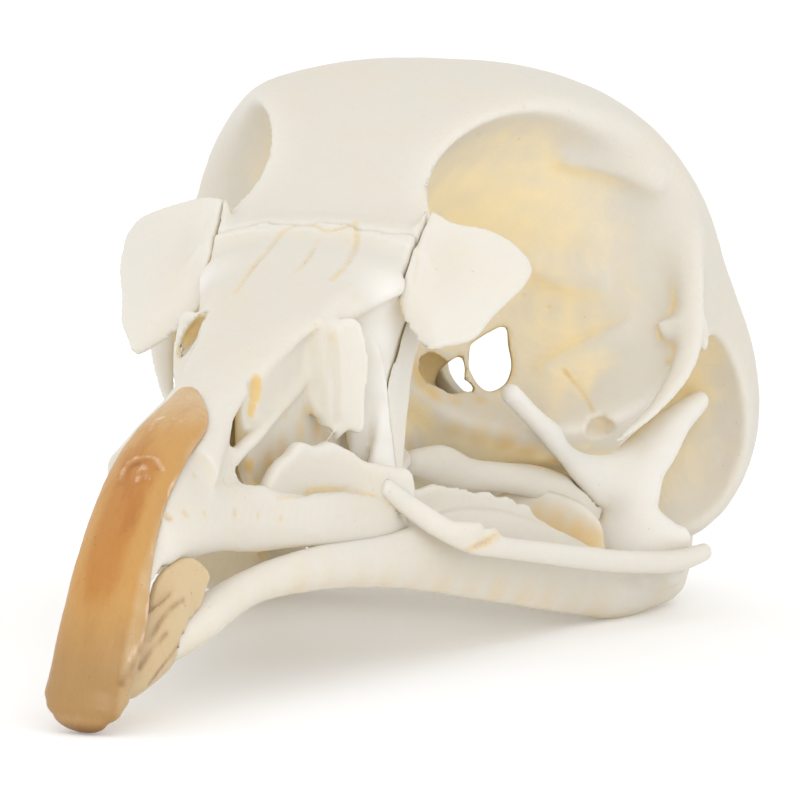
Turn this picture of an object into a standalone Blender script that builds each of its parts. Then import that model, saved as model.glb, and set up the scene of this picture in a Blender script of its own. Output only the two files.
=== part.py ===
"""Chukar skull, life size, as a still museum model made of separate bones.

Metres, +Z up. The bill points along -Y and the bird's left side is +X. The bill tip and
the two jaw angles stand on Z = 0, and the origin lies under the middle of the skull.
Sizes below are in millimetres, with Y counted back from the bill tip.
"""
import math

import bmesh
import bpy
import numpy as np

MILLIMETRE = 0.001

# Driving dimensions
SKULL_LENGTH = 52.0
GAP = 0.3
SIDES = 10
LEFT = 1
RIGHT = -1

# Landmarks (x, y, z) that more than one bone is placed from
HINGE_Y = 23.3
HINGE_Z = 14.9
CROWN_Z = 20.8
BRAINCASE_HALF_WIDTH = 10.6
ORBIT_CENTRE = (10.5, 29.8, 12.2)
ORBIT_RADII = (10.4, 7.3, 8.0)
LACRIMAL_ROOT = (4.3, 24.3, 15.2)
LACRIMAL_REACH = 3.6
STRUT_FOOT = (3.4, 20.8, 6.4)
SPINE_ROOT = (10.3, 36.5, 9.9)
SPINE_TIP = (8.6, 33.3, 7.1)
QUADRATE_KNOB = (5.0, 31.4, 8.8)
QUADRATE_BODY = (7.5, 39.2, 4.8)
JAW_ANGLE_Y = 37.6

BONE = (0.83, 0.79, 0.70)
HORN = (0.62, 0.36, 0.13)


def clear_scene():
    for thing in list(bpy.data.objects):
        bpy.data.objects.remove(thing, do_unlink=True)


def material(name, colour, roughness):
    finish = bpy.data.materials.new(name)
    finish.use_nodes = True
    shader = finish.node_tree.nodes["Principled BSDF"]
    shader.inputs["Base Color"].default_value = (*colour, 1.0)
    shader.inputs["Roughness"].default_value = roughness
    shader.inputs["Metallic"].default_value = 0.0
    return finish


def through(rows, count):
    """Rows on a smooth curve through the given rows, evenly spread along their x, y and z."""
    knots = np.array(rows, dtype=float)
    steps = np.linalg.norm(np.diff(knots[:, :3], axis=0), axis=1)
    reach = np.concatenate([[0.0], np.cumsum(steps)])
    slope = np.gradient(knots, reach, axis=0)
    at = np.linspace(0.0, reach[-1], count)
    left = np.clip(np.searchsorted(reach, at, side="right") - 1, 0, len(knots) - 2)
    span = (reach[left + 1] - reach[left])[:, None]
    t = (at - reach[left])[:, None] / span
    start = (1 + 2 * t) * (1 - t) ** 2 * knots[left] + t * (1 - t) ** 2 * span * slope[left]
    end = t * t * (3 - 2 * t) * knots[left + 1] + t * t * (t - 1) * span * slope[left + 1]
    return start + end


def solid(name, points, faces):
    """A mesh object from points in millimetres, with its faces turned outward."""
    places = (np.array(points) - (0.0, SKULL_LENGTH / 2, 0.0)) * MILLIMETRE
    mesh = bpy.data.meshes.new(name)
    mesh.from_pydata(places.tolist(), [], faces)
    form = bmesh.new()
    form.from_mesh(mesh)
    bmesh.ops.triangulate(form, faces=form.faces[:])
    if form.calc_volume(signed=True) < 0:
        bmesh.ops.reverse_faces(form, faces=form.faces[:])
    form.to_mesh(mesh)
    form.free()
    mesh.shade_smooth()
    body = bpy.data.objects.new(name, mesh)
    bpy.context.collection.objects.link(body)
    return body


def loft(name, rings, first, last):
    """A closed skin over rings of points, drawn to a point at each end."""
    count, sides = len(rings), len(rings[0])
    points = np.vstack([np.reshape(rings, (-1, 3)), first, last])
    faces = []
    for ring in range(count - 1):
        for side in range(sides):
            after = (side + 1) % sides
            low, high = ring * sides, (ring + 1) * sides
            faces.append((low + side, low + after, high + after, high + side))
    top = (count - 1) * sides
    for side in range(sides):
        after = (side + 1) % sides
        faces.append((after, side, count * sides))
        faces.append((top + side, top + after, count * sides + 1))
    return solid(name, points, faces)


def rod(name, rows, steps=10, up=(0.0, 0.0, 1.0), sides=SIDES, grow=0.0):
    """A bar with rounded ends through rows of x, y, z, half thickness and half height."""
    rows = through(rows, steps)
    centres, halves = rows[:, :3], rows[:, 3:5] + grow
    heading = np.gradient(centres, axis=0)
    heading /= np.linalg.norm(heading, axis=1)[:, None]
    across = np.cross(heading, up)
    across /= np.linalg.norm(across, axis=1)[:, None]
    upward = np.cross(across, heading)
    turn = np.linspace(0, 2 * math.pi, sides, endpoint=False)
    rings = []
    round_end = math.sqrt(0.5)

    def ring(station, forward, scale):
        reach = min(halves[station])
        centre = centres[station] + heading[station] * forward * reach
        wide = across[station] * halves[station][0] * scale
        high = upward[station] * halves[station][1] * scale
        rings.append(centre + np.outer(np.cos(turn), wide) + np.outer(np.sin(turn), high))

    ring(0, -round_end, round_end)
    for station in range(steps):
        ring(station, 0.0, 1.0)
    ring(steps - 1, round_end, round_end)
    first = centres[0] - heading[0] * min(halves[0])
    last = centres[-1] + heading[-1] * min(halves[-1])
    return loft(name, rings, first, last)


def shell(name, rows, waist=0.5, upper_power=2.3, lower_power=2.3, steps=14, sides=28, grow=0.0):
    """A symmetric body through rows of upper y and z, lower y and z, and half width.

    The waist says how far up each ring is widest, and the powers how square the ring is.
    """
    rows = np.array(rows, dtype=float)
    rows = through(np.column_stack([rows[:, :2].mean(axis=1) * 0, rows]), steps)[:, 1:]
    turn = np.linspace(0, 2 * math.pi, sides, endpoint=False)
    rings = []
    for upper_y, upper_z, lower_y, lower_z, half in rows:
        upper = np.array([0.0, upper_y, upper_z])
        lower = np.array([0.0, lower_y, lower_z])
        height = np.linalg.norm(upper - lower)
        axis = (upper - lower) / height
        widest = lower + (upper - lower) * waist
        ring = []
        for angle in turn:
            sine, cosine = math.sin(angle), math.cos(angle)
            power = upper_power if cosine > 0 else lower_power
            part = height * ((1 - waist) if cosine > 0 else waist) + grow
            rise = math.copysign(abs(cosine) ** (2 / power), cosine) * part
            wide = math.copysign(abs(sine) ** (2 / power), sine) * (half + grow)
            ring.append(widest + axis * rise + np.array([wide, 0.0, 0.0]))
        rings.append(ring)
    rings = np.array(rings)
    middles = rings.mean(axis=1)
    for end, inner in ((0, 1), (-1, -2)):
        outward = middles[end] - middles[inner]
        rings[end] += outward / np.linalg.norm(outward) * grow
    return loft(name, rings, rings[0].mean(axis=0), rings[-1].mean(axis=0))


def blob(name, centre, radii, sides=20):
    """An ellipsoid."""
    form = bmesh.new()
    bmesh.ops.create_uvsphere(form, u_segments=sides, v_segments=sides // 2, radius=1.0)
    points = np.array([corner.co[:] for corner in form.verts]) * radii
    faces = [[corner.index for corner in face.verts] for face in form.faces]
    form.free()
    return solid(name, points + np.array(centre), faces)


def fan(name, outline, place, across, upward, thickness, bend=0.0, edge_points=28, grow=0.0):
    """A thin plate inside a smooth closed outline, bowed along its first axis."""
    place, across, upward = (np.array(part, dtype=float) for part in (place, across, upward))
    across /= np.linalg.norm(across)
    upward -= across * across.dot(upward)
    upward /= np.linalg.norm(upward)
    normal = np.cross(across, upward)
    closed = [(*point, 0.0) for point in (*outline, outline[0])]
    edge = through(closed, edge_points + 1)[:-1, :2]
    middle = edge.mean(axis=0)
    edge = edge + (edge - middle) / np.linalg.norm(edge - middle, axis=1)[:, None] * grow
    half = thickness / 2 + grow

    def lay(flat, lift):
        bow = lift + bend * flat[:, 0] ** 2
        return place + np.outer(flat[:, 0], across) + np.outer(flat[:, 1], upward) + np.outer(bow, normal)

    shares = (0.5, 1.0)
    rings = [lay(middle + (edge - middle) * share, half) for share in shares]
    rings += [lay(middle + (edge - middle) * share, -half) for share in reversed(shares)]
    centre = middle[None, :]
    return loft(name, rings, lay(centre, half)[0], lay(centre, -half)[0])


def mirrored(rows, side):
    """Rows that start with x, set on the given side."""
    return [(row[0] * side, *row[1:]) for row in rows]


def apply_boolean(body, others, operation):
    """Joins or cuts the body with closed solids, which are then removed."""
    group = bpy.data.collections.new(body.name + "_tools")
    bpy.context.scene.collection.children.link(group)
    for other in others:
        bpy.context.collection.objects.unlink(other)
        group.objects.link(other)
    step = body.modifiers.new(operation.title(), "BOOLEAN")
    step.operation = operation
    step.operand_type = "COLLECTION"
    step.collection = group
    step.solver = "MANIFOLD"
    done = body.evaluated_get(bpy.context.evaluated_depsgraph_get())
    mesh = bpy.data.meshes.new_from_object(done)
    body.modifiers.clear()
    body.data = mesh
    for other in others:
        bpy.data.objects.remove(other, do_unlink=True)
    bpy.data.collections.remove(group)


def join(name, pieces):
    body = pieces[0]
    body.name = name
    apply_boolean(body, pieces[1:], "UNION")
    return body


def cut(body, cutters):
    apply_boolean(body, cutters, "DIFFERENCE")


def keep_largest(body):
    """Leaves only the largest closed surface of a body."""
    form = bmesh.new()
    form.from_mesh(body.data)
    bmesh.ops.remove_doubles(form, verts=form.verts[:], dist=GAP * MILLIMETRE * 0.01)
    bmesh.ops.triangulate(form, faces=form.faces[:])
    unseen = set(form.faces)
    shells = []
    while unseen:
        edge_of = [unseen.pop()]
        found = list(edge_of)
        while edge_of:
            face = edge_of.pop()
            for edge in face.edges:
                for neighbour in edge.link_faces:
                    if neighbour in unseen:
                        unseen.remove(neighbour)
                        found.append(neighbour)
                        edge_of.append(neighbour)
        volume = 0.0
        for face in found:
            one, two, three = (corner.co for corner in face.verts)
            volume += one.dot(two.cross(three)) / 6
        shells.append((volume, found))
    largest = max(shells, key=lambda item: item[0])[1]
    spare = [face for face in form.faces if face not in set(largest)]
    bmesh.ops.delete(form, geom=spare, context="FACES")
    form.to_mesh(body.data)
    form.free()
    body.data.shade_smooth()


def finish(body, look):
    keep_largest(body)
    body.data.materials.clear()
    body.data.materials.append(look)


def braincase():
    """Frontal roof and braincase in one shell, from the hinge to the back of the head."""
    rows = (
        (HINGE_Y + GAP / 2, HINGE_Z, HINGE_Y + GAP / 2, 13.2, 4.2),
        (26.0, 16.7, 26.0, 12.6, 5.0),
        (29.0, 18.7, 28.5, 10.5, 7.8),
        (32.5, 20.25, 31.8, 8.0, BRAINCASE_HALF_WIDTH - 0.6),
        (36.0, CROWN_Z, 36.0, 5.4, BRAINCASE_HALF_WIDTH - 0.2),
        (40.4, 20.6, 40.5, 4.2, BRAINCASE_HALF_WIDTH - 0.1),
        (44.8, 18.8, 44.5, 3.6, BRAINCASE_HALF_WIDTH - 0.6),
        (48.4, 15.6, 47.8, 4.0, 8.9),
        (50.8, 11.9, 50.0, 5.2, 6.6),
        (51.95, 9.9, 51.6, 6.9, 3.9),
        (SKULL_LENGTH + 0.2, 8.9, SKULL_LENGTH + 0.2, 8.1, 1.6),
    )
    return shell("braincase", rows, waist=0.44, upper_power=2.5, lower_power=2.2, steps=22, sides=32)


def ear_wing(side):
    """The swelling behind the ear, down to its tip beside the jaw."""
    return blob("wing", (7.7 * side, 44.0, 7.6), (3.8, 4.3, 5.4))


def eye_hollows(side):
    """The eye socket, which is deepest where it meets the front of the braincase."""
    return [
        blob("orbit", (ORBIT_CENTRE[0] * side, *ORBIT_CENTRE[1:]), ORBIT_RADII, sides=26),
        blob("outer_orbit", (10.9 * side, 32.0, 14.0), (8.6, 6.6, 6.1), sides=22),
        blob("deep_orbit", (5.1 * side, 33.0, 11.6), (4.9, 4.7, 4.4), sides=22),
    ]


def spine(side):
    """The spine that runs forward from the rim behind the eye."""
    rows = (
        (9.6, 38.9, 14.2, 0.4, 0.6),
        (10.2, 37.6, 12.0, 0.35, 0.6),
        (*SPINE_ROOT, 0.32, 0.5),
        (9.6, 35.1, 8.3, 0.25, 0.34),
        (*SPINE_TIP, 0.16, 0.18),
    )
    return rod("spine", mirrored(rows, side), steps=9, up=(side, 0.0, 0.3), sides=8)


def septum(grow=0.0):
    """The thin wall between the eyes, which stands on the rostrum."""
    outline = ((23.9, 13.2), (27.5, 17.0), (33.5, 18.4), (38.6, 13.0), (38.6, 6.4), (31.0, 6.7), (23.6, 7.4))
    return fan("septum", outline, (0.0, 0.0, 0.0), (0.0, 1.0, 0.0), (0.0, 0.0, 1.0), 0.9, edge_points=24,
               grow=grow)


def rostrum(grow=0.0):
    rows = (
        (0.0, 43.0, 5.2, 3.0, 1.3),
        (0.0, 38.0, 6.0, 1.5, 1.0),
        (0.0, 31.0, 6.7, 0.8, 0.8),
        (0.0, 24.1, 7.4, 0.45, 0.6),
    )
    return rod("rostrum", rows, steps=10, grow=grow)


def cranium():
    body = braincase()
    body = join("cranium", [body, ear_wing(LEFT), ear_wing(RIGHT)])
    hollows = eye_hollows(LEFT) + eye_hollows(RIGHT)
    hollows += [blob("ear", (9.9 * side, 40.4, 6.0), (3.4, 3.2, 4.8), sides=18) for side in (LEFT, RIGHT)]
    cut(body, hollows)
    pieces = [body, septum(), rostrum()]
    for side in (LEFT, RIGHT):
        pieces.append(spine(side))
    pieces.append(blob("condyle", (0.0, 49.9, 5.4), (1.1, 1.0, 0.9), sides=12))
    body = join("cranium", pieces)
    passages = []
    for side in (LEFT, RIGHT):
        rows = ((3.3, 33.6, 9.9, 1.2, 1.2), (-1.8, 52.4, 8.2, 1.2, 1.2))
        passages.append(rod("passage", mirrored(rows, side), steps=4))
    passages.append(blob("foramen", (0.0, 51.6, 7.9), (2.5, 3.2, 2.0), sides=16))
    passages.append(blob("window", (0.0, 33.2, 12.0), (1.5, 2.0, 1.4), sides=16))
    for side in (LEFT, RIGHT):
        passages += [lacrimal(side, GAP), ramus(side, GAP)] + quadrate_pieces(side, GAP)
    cut(body, passages)
    return body


def lacrimal(side, grow=0.0):
    """The fan of bone in front of the eye, beside the hinge."""
    outline = (
        (-0.3, 0.2),
        (0.6, -0.4),
        (1.5, -0.3),
        (2.6, -0.7),
        (LACRIMAL_REACH - 0.3, -1.6),
        (2.9, -3.0),
        (1.8, -4.1),
        (0.4, -4.8),
        (-0.8, -5.0),
        (-1.5, -4.5),
        (-1.1, -2.6),
        (-0.7, -0.9),
    )
    across = (0.86 * side, 0.51, 0.0)
    upward = (-0.30 * side, 0.50, 0.81)
    place = (LACRIMAL_ROOT[0] * side, LACRIMAL_ROOT[1], LACRIMAL_ROOT[2])
    return fan("lacrimal", outline, place, across, upward, 0.6, bend=-0.03 * side, grow=grow)


def upper_beak_shape(grow=0.0):
    """Roof of the bill from the hinge to the front, and the solid front with the bony core."""
    roof = (
        (HINGE_Y - GAP / 2, HINGE_Z - 0.1, HINGE_Y - GAP / 2, 13.1, 4.1),
        (21.5, 14.2, 21.5, 12.4, 3.7),
        (18.0, 12.75, 18.0, 11.4, 2.5),
        (14.5, 11.45, 14.5, 10.3, 1.7),
        (11.0, 10.15, 11.0, 8.9, 1.4),
        (8.0, 9.0, 8.4, 7.2, 1.9),
    )
    front = (
        (9.9, 9.5, 9.9, 5.2, 2.3),
        (8.6, 9.1, 8.8, 5.1, 2.5),
        (5.6, 7.8, 5.8, 5.2, 2.2),
        (3.6, 6.2, 4.6, 5.0, 1.7),
        (3.2, 5.2, 4.1, 4.4, 1.2),
    )
    return [
        shell("roof", roof, waist=0.3, upper_power=2.0, lower_power=2.4, steps=10, sides=18, grow=grow),
        shell("front", front, waist=0.25, upper_power=1.9, lower_power=3.0, steps=10, sides=20, grow=grow),
    ]


def cheek_plate(side, grow=0.0):
    """Side edge of the bill, from the front back to a point under the eye."""
    rows = (
        (1.6, 4.6, 5.5, 0.5, 0.6),
        (2.2, 7.5, 6.0, 0.6, 0.9),
        (2.7, 10.5, 5.95, 0.5, 1.1),
        (3.5, 16.5, 5.4, 0.4, 1.0),
        (3.9, 19.5, 4.95, 0.36, 0.85),
        (4.1, 21.7, 4.5, 0.28, 0.5),
        (4.3, 23.6, 4.1, 0.2, 0.2),
    )
    return rod("cheek", mirrored(rows, side), steps=12, grow=grow)


def bill_bone(grow=0.0):
    """The bony core that the horn of the upper bill sits on."""
    return upper_beak_shape(grow) + [cheek_plate(side, grow) for side in (LEFT, RIGHT)]


def nasal_strut(side, grow=0.0):
    """The strut behind the nostril, from the roof down to the side edge."""
    rows = (
        (3.2, 22.5, 10.7, 0.28, 1.0),
        (3.3, 22.2, 9.3, 0.28, 0.66),
        (3.35, 21.7, 8.2, 0.28, 0.6),
        (*STRUT_FOOT, 0.3, 0.75),
        (3.6, 20.4, 5.2, 0.3, 0.6),
    )
    return rod("strut", mirrored(rows, side), steps=10, up=(0.0, 1.0, 0.3), sides=8, grow=grow)


def nasal_wall(side):
    """The side wall of the roof between the nostril and the lacrimal."""
    outline = (
        (-2.6, 2.7),
        (-0.6, 3.6),
        (1.1, 3.8),
        (1.2, 3.0),
        (1.2, 1.8),
        (1.2, 1.2),
        (1.1, 0.1),
        (0.1, 0.0),
        (-0.2, 1.1),
        (-0.8, 2.1),
    )
    place = (3.1 * side, 21.8, 9.6)
    return fan("wall", outline, place, (0.26 * side, 0.966, 0.0), (-0.10 * side, 0.2, 1.0), 0.66)


def palate_plate(side):
    """The scalloped plate low inside the nostril."""
    outline = ((-3.2, -0.4), (-2.1, 0.4), (-0.8, 0.9), (0.7, 0.7), (2.3, 0.5), (3.2, 0.0), (4.3, -0.3),
               (4.1, -1.2), (1.5, -1.3), (-1.8, -1.2))
    return fan("palate", outline, (2.7 * side, 14.6, 7.3), (0.2 * side, 0.98, 0.0), (0.0, 0.0, 1.0), 0.5)


def nose_curtain(side):
    """The folded plate that hangs in the middle of the nostril."""
    outline = ((-0.3, 1.0), (0.4, 1.5), (1.3, 2.3), (2.6, 2.5), (2.7, 1.4), (2.6, 0.1), (2.4, -1.3),
               (1.9, -1.5), (1.1, -0.9), (0.4, 0.3))
    return fan("curtain", outline, (1.3 * side, 16.6, 9.6), (0.55 * side, 0.83, 0.0), (0.0, 0.0, 1.0), 0.5)


def upper_beak():
    pieces = bill_bone()
    midline = ((9.0, 6.4), (12.5, 9.8), (16.0, 11.6), (20.0, 12.9), (22.4, 13.4), (22.2, 7.6), (16.0, 6.6))
    pieces.append(fan("septum", midline, (0.0, 0.0, 0.0), (0.0, 1.0, 0.0), (0.0, 0.0, 1.0), 0.6))
    for side in (LEFT, RIGHT):
        pieces += [nasal_strut(side), nasal_wall(side), palate_plate(side), nose_curtain(side)]
    body = join("upper_beak", pieces)
    cutters = [septum(GAP), rostrum(GAP), upper_horn_shape(GAP)]
    for side in (LEFT, RIGHT):
        cutters += [lacrimal(side, GAP), ramus(side, GAP), jaw_crest(side, GAP)]
    cut(body, cutters)
    return body


def upper_horn_shape(grow=0.0):
    """The horn on the ridge and tip of the bill, let into the bone."""
    rows = (
        (-0.3, 10.1, 9.85, 0.5, 0.35),
        (-0.2, 8.7, 9.24, 1.1, 0.5),
        (-0.15, 6.66, 8.32, 1.2, 0.5),
        (-0.3, 4.69, 6.87, 1.27, 0.55),
        (-0.15, 2.95, 5.15, 1.33, 0.6),
        (0.0, 1.87, 3.25, 1.42, 0.7),
        (-0.04, 1.1, 1.7, 1.4, 0.65),
        (-0.06, 0.6, 0.78, 1.25, 0.6),
        (-0.1, 0.42, 0.42, 1.1, 0.45),
    )
    return rod("upper_horn", rows, steps=18, up=(0.0, -0.7, 0.7), sides=20, grow=grow)


def jaw_rows():
    """Centre line of one side of the lower jaw, from its tip to the hooked rear end."""
    return (
        (0.4, 3.7, 2.0, 0.6, 0.55),
        (1.5, 5.2, 2.7, 0.7, 0.7),
        (2.4, 9.0, 3.8, 0.58, 0.65),
        (3.2, 13.0, 4.05, 0.52, 0.75),
        (4.2, 18.6, 3.85, 0.5, 0.92),
        (5.2, 25.0, 3.65, 0.5, 1.62),
        (6.1, 30.0, 3.0, 0.52, 1.9),
        (6.8, JAW_ANGLE_Y - 2.6, 2.0, 0.7, 1.65),
        (7.3, JAW_ANGLE_Y, 1.06, 1.0, 1.1),
        (8.0, 41.0, 1.05, 0.9, 1.0),
        (8.2, 44.0, 1.1, 0.65, 0.95),
        (8.0, 46.2, 2.2, 0.5, 0.65),
        (7.8, 47.8, 3.8, 0.35, 0.45),
    )


def chin(grow=0.0):
    """The floor of bone that joins the two sides of the lower jaw in front."""
    return blob("chin", (0.0, 5.2, 2.3), (1.6 + grow, 2.4 + grow, 0.6 + grow), sides=16)


def ramus(side, grow=0.0):
    return rod("ramus", mirrored(jaw_rows(), side), steps=28, grow=grow)


def jaw_joint(side, grow=0.0):
    """The cup that carries the quadrate and the prong on its inner side."""
    cup = ((6.0, 39.0, 1.9, 1.2, 0.7), (9.0, 39.8, 1.9, 1.2, 0.8))
    inner = ((7.0, 40.0, 1.8, 0.6, 0.5), (4.6, 40.8, 2.8, 0.4, 0.35))
    return [
        rod("cup", mirrored(cup, side), steps=4, grow=grow),
        rod("inner", mirrored(inner, side), steps=4, grow=grow),
    ]


def jaw_crest(side, grow=0.0):
    """The low plate on the upper edge of the jaw, inside the cheek bar."""
    outline = ((-8.1, 0.2), (-7.2, 1.1), (-5.2, 1.6), (-2.9, 1.6), (0.8, 1.3), (2.5, 1.0), (3.9, 0.2),
               (5.4, -0.1), (7.3, -0.6), (5.0, -1.4), (-1.9, -1.6), (-7.0, -1.2))
    return fan("crest", outline, (5.4 * side, 28.5, 4.0), (0.2 * side, 1.0, -0.08), (0.0, 0.0, 1.0), 0.5,
               grow=grow)


def mandible():
    pieces = []
    for side in (LEFT, RIGHT):
        pieces += [ramus(side), jaw_crest(side)] + jaw_joint(side)
    pieces.append(chin())
    body = join("mandible", pieces)
    cutters = []
    for side in (LEFT, RIGHT):
        cutters += quadrate_pieces(side, GAP) + [pterygoid_shape(side, GAP), cheek_bar_shape(side, GAP)]
    cut(body, cutters)
    return body


def lower_horn():
    """The horny sheath on the front of the lower jaw."""
    rows = (
        (2.1, 1.6, 2.1, 0.9, 0.7),
        (2.8, 3.0, 3.0, 0.7, 1.3),
        (3.8, 4.6, 3.8, 0.9, 1.75),
        (5.4, 5.6, 5.4, 1.6, 2.1),
    )
    body = shell("lower_horn", rows, waist=0.5, steps=8, sides=20)
    core = [rod("core", mirrored(jaw_rows()[:4], side), steps=9, grow=GAP) for side in (LEFT, RIGHT)]
    core.append(chin(GAP))
    mouth = blob("mouth", (0.0, 5.7, 4.45), (1.55, 3.3, 2.1), sides=18)
    cut(body, core + [mouth, upper_horn_shape(GAP)] + bill_bone(GAP))
    return body


def quadrate_pieces(side, grow=0.0):
    """Body of the quadrate with its four branches."""
    body = (
        (7.0, 39.0, 5.5, 1.0, 0.7),
        (*QUADRATE_BODY, 1.2, 0.8),
        (7.6, 39.2, 3.9, 1.15, 0.8),
        (7.9, 39.2, 2.9, 1.6, 0.9),
    )
    orbital = (
        (*QUADRATE_KNOB, 0.38, 0.38),
        (5.4, 33.0, 7.9, 0.34, 0.38),
        (5.7, 35.0, 7.0, 0.36, 0.5),
        (6.1, 37.0, 6.1, 0.4, 0.75),
        (6.8, 38.6, 5.2, 0.45, 1.1),
    )
    ear = (
        (7.3, 39.2, 4.9, 0.95, 0.7),
        (8.2, 40.0, 6.2, 0.95, 0.75),
        (8.9, 41.2, 7.3, 0.6, 0.7),
        (9.5, 42.2, 7.9, 0.42, 0.6),
    )
    foot = ((6.5, 38.8, 2.9, 0.4, 0.55), (8.1, 39.2, 2.9, 0.5, 0.6), (9.6, 39.6, 2.9, 0.4, 0.5))
    return [
        rod("quadrate", mirrored(body, side), steps=5, up=(0.0, 1.0, 0.0), grow=grow),
        rod("orbital", mirrored(orbital, side), steps=8, grow=grow),
        rod("ear", mirrored(ear, side), steps=5, up=(0.0, 1.0, 0.0), grow=grow),
        rod("foot", mirrored(foot, side), steps=4, grow=grow),
    ]


def quadrate(side, name):
    return join(name, quadrate_pieces(side))


def cheek_bar_shape(side, grow=0.0):
    rows = (
        (4.28, 20.0, 6.0, 0.26, 0.32),
        (4.6, 21.2, 5.5, 0.27, 0.34),
        (5.05, 23.0, 4.8, 0.28, 0.36),
        (5.8, 25.0, 4.0, 0.3, 0.4),
        (6.6, 27.4, 3.6, 0.28, 0.4),
        (7.9, 31.0, 3.0, 0.3, 0.44),
        (9.2, 35.0, 2.5, 0.34, 0.44),
        (10.1, 38.6, 2.4, 0.36, 0.4),
        (10.4, 39.4, 2.5, 0.3, 0.34),
    )
    return rod("cheek_bar", mirrored(rows, side), steps=20, sides=8, grow=grow)


def cheek_bar(side, name):
    """The slender bar under the eye, from the bill to the quadrate."""
    body = cheek_bar_shape(side)
    body.name = name
    cut(body, quadrate_pieces(side, GAP) + jaw_joint(side, GAP))
    cut(body, [nasal_strut(side, GAP), cheek_plate(side, GAP)])
    return body


def pterygoid_shape(side, grow=0.0):
    rows = (
        (1.9, 29.4, 6.6, 0.35, 0.35),
        (2.4, 30.6, 6.2, 0.4, 0.55),
        (3.4, 33.2, 5.6, 0.42, 0.55),
        (4.5, 35.2, 5.4, 0.42, 0.6),
        (5.5, 36.8, 4.6, 0.44, 0.8),
        (6.0, 37.6, 4.1, 0.46, 0.85),
        (6.3, 38.2, 3.8, 0.4, 0.75),
    )
    return rod("pterygoid", mirrored(rows, side), steps=12, grow=grow)


def pterygoid(side, name):
    body = pterygoid_shape(side)
    body.name = name
    cut(body, quadrate_pieces(side, GAP))
    return body


def palatine(side, name):
    rows = (
        (2.25, 19.8, 6.4, 0.5, 0.28),
        (2.5, 23.0, 6.5, 0.7, 0.3),
        (2.2, 26.0, 6.7, 0.65, 0.36),
        (1.3, 28.4, 6.9, 0.4, 0.5),
    )
    return rod(name, mirrored(rows, side), steps=8)


def build():
    clear_scene()
    bone = material("bone", BONE, 0.55)
    horn = material("horn", HORN, 0.35)
    skull = cranium()
    beak = upper_beak()
    sheath = upper_horn_shape()
    jaw = mandible()
    jaw_sheath = lower_horn()
    for side, word in ((LEFT, "left"), (RIGHT, "right")):
        fan_bone = lacrimal(side)
        fan_bone.name = "lacrimal_" + word
        finish(fan_bone, bone)
        for maker, name in ((quadrate, "quadrate_"), (cheek_bar, "cheek_bar_"),
                            (pterygoid, "pterygoid_"), (palatine, "palatine_")):
            finish(maker(side, name + word), bone)
    for body in (skull, beak, jaw):
        finish(body, bone)
    for body in (sheath, jaw_sheath):
        finish(body, horn)


build()
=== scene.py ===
"""Dry chukar skull, shown as a life-size museum model on a pale floor.

Every bone is worked up the way a sculptor works clay: bars, plates, lumps and hollows are blended
into a block of signed distances, sutures part it into named bones, and each bone is skinned with a
fine mesh. Sizes are in millimetres in the skull's own frame: X to the bird's left, Y back from the
tip of the bill and Z up from the plane it rests on. They become metres only when a mesh is made.
"""

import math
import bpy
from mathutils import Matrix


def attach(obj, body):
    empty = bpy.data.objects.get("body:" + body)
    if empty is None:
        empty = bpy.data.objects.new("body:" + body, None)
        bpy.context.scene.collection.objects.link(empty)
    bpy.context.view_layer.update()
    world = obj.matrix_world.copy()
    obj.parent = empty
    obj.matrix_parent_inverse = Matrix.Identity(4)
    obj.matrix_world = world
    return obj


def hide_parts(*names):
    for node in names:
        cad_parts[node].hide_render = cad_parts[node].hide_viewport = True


bl_info = {
    "name": "Chukar skull",
    "version": (1, 0, 0),
    "blender": (4, 5, 0),
    "location": "View3D > Sidebar > Chukar skull",
    "description": "Builds a dry chukar skull with its horn and a plain stage",
    "category": "Object",
}

import bpy
import numpy as np
from mathutils import Matrix

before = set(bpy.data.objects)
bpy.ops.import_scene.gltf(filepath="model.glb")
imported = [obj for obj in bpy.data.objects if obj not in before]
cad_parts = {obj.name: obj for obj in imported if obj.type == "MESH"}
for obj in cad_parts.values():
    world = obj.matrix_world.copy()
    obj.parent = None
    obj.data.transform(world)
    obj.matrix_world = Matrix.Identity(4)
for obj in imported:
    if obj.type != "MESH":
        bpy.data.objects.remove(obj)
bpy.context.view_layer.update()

MILLIMETRE = 0.001
SKULL_LENGTH = 52.0
MID_LENGTH = SKULL_LENGTH / 2
FAR = 1000.0
LEFT = 1
RIGHT = -1

# The bending line between the bill and the braincase, and the width of the joints between bones
HINGE_Y = 23.3
HINGE_Z = 14.9
SUTURE = 0.05

# The picture is this many pixels wide. The camera aims at a point in millimetres and is shifted from it
PHOTO_PIXELS = 800
AIM = (0.0, 24.0, 9.0)
AIM_RIGHT = 2.88
AIM_DOWN = 0.16
NEAREST = 120.0
FARTHEST = 240.0
SENSOR_WIDTH = 36.0
FLOOR_REACH = 60.0

# Lights: where they stand in metres, how wide they are, and the share of power that the side light gets
KEY_PLACE = (0.10, -0.32, 0.10)
SIDE_PLACE = (0.30, -0.16, 0.14)
LIGHT_SIZE = 0.20
SIDE_SHARE = 0.05

# How far from a surface point its surroundings are read, in millimetres
NEAR_RADIUS = 0.5
WIDE_RADIUS = 1.6


class SkullSizes(bpy.types.PropertyGroup):
    length: bpy.props.FloatProperty(
        name="Skull length", description="From the tip of the bill to the back of the head",
        default=SKULL_LENGTH * MILLIMETRE, min=0.04, max=0.07, unit="LENGTH")
    fineness: bpy.props.FloatProperty(
        name="Mesh step", description="Size of the cells that the bones are skinned with",
        default=0.13 * MILLIMETRE, min=0.08 * MILLIMETRE, max=0.4 * MILLIMETRE, unit="LENGTH", precision=5)
    relief: bpy.props.FloatProperty(
        name="Relief", description="Strength of the uneven surface of the bone", default=1.0, min=0.0,
        max=3.0)


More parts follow.
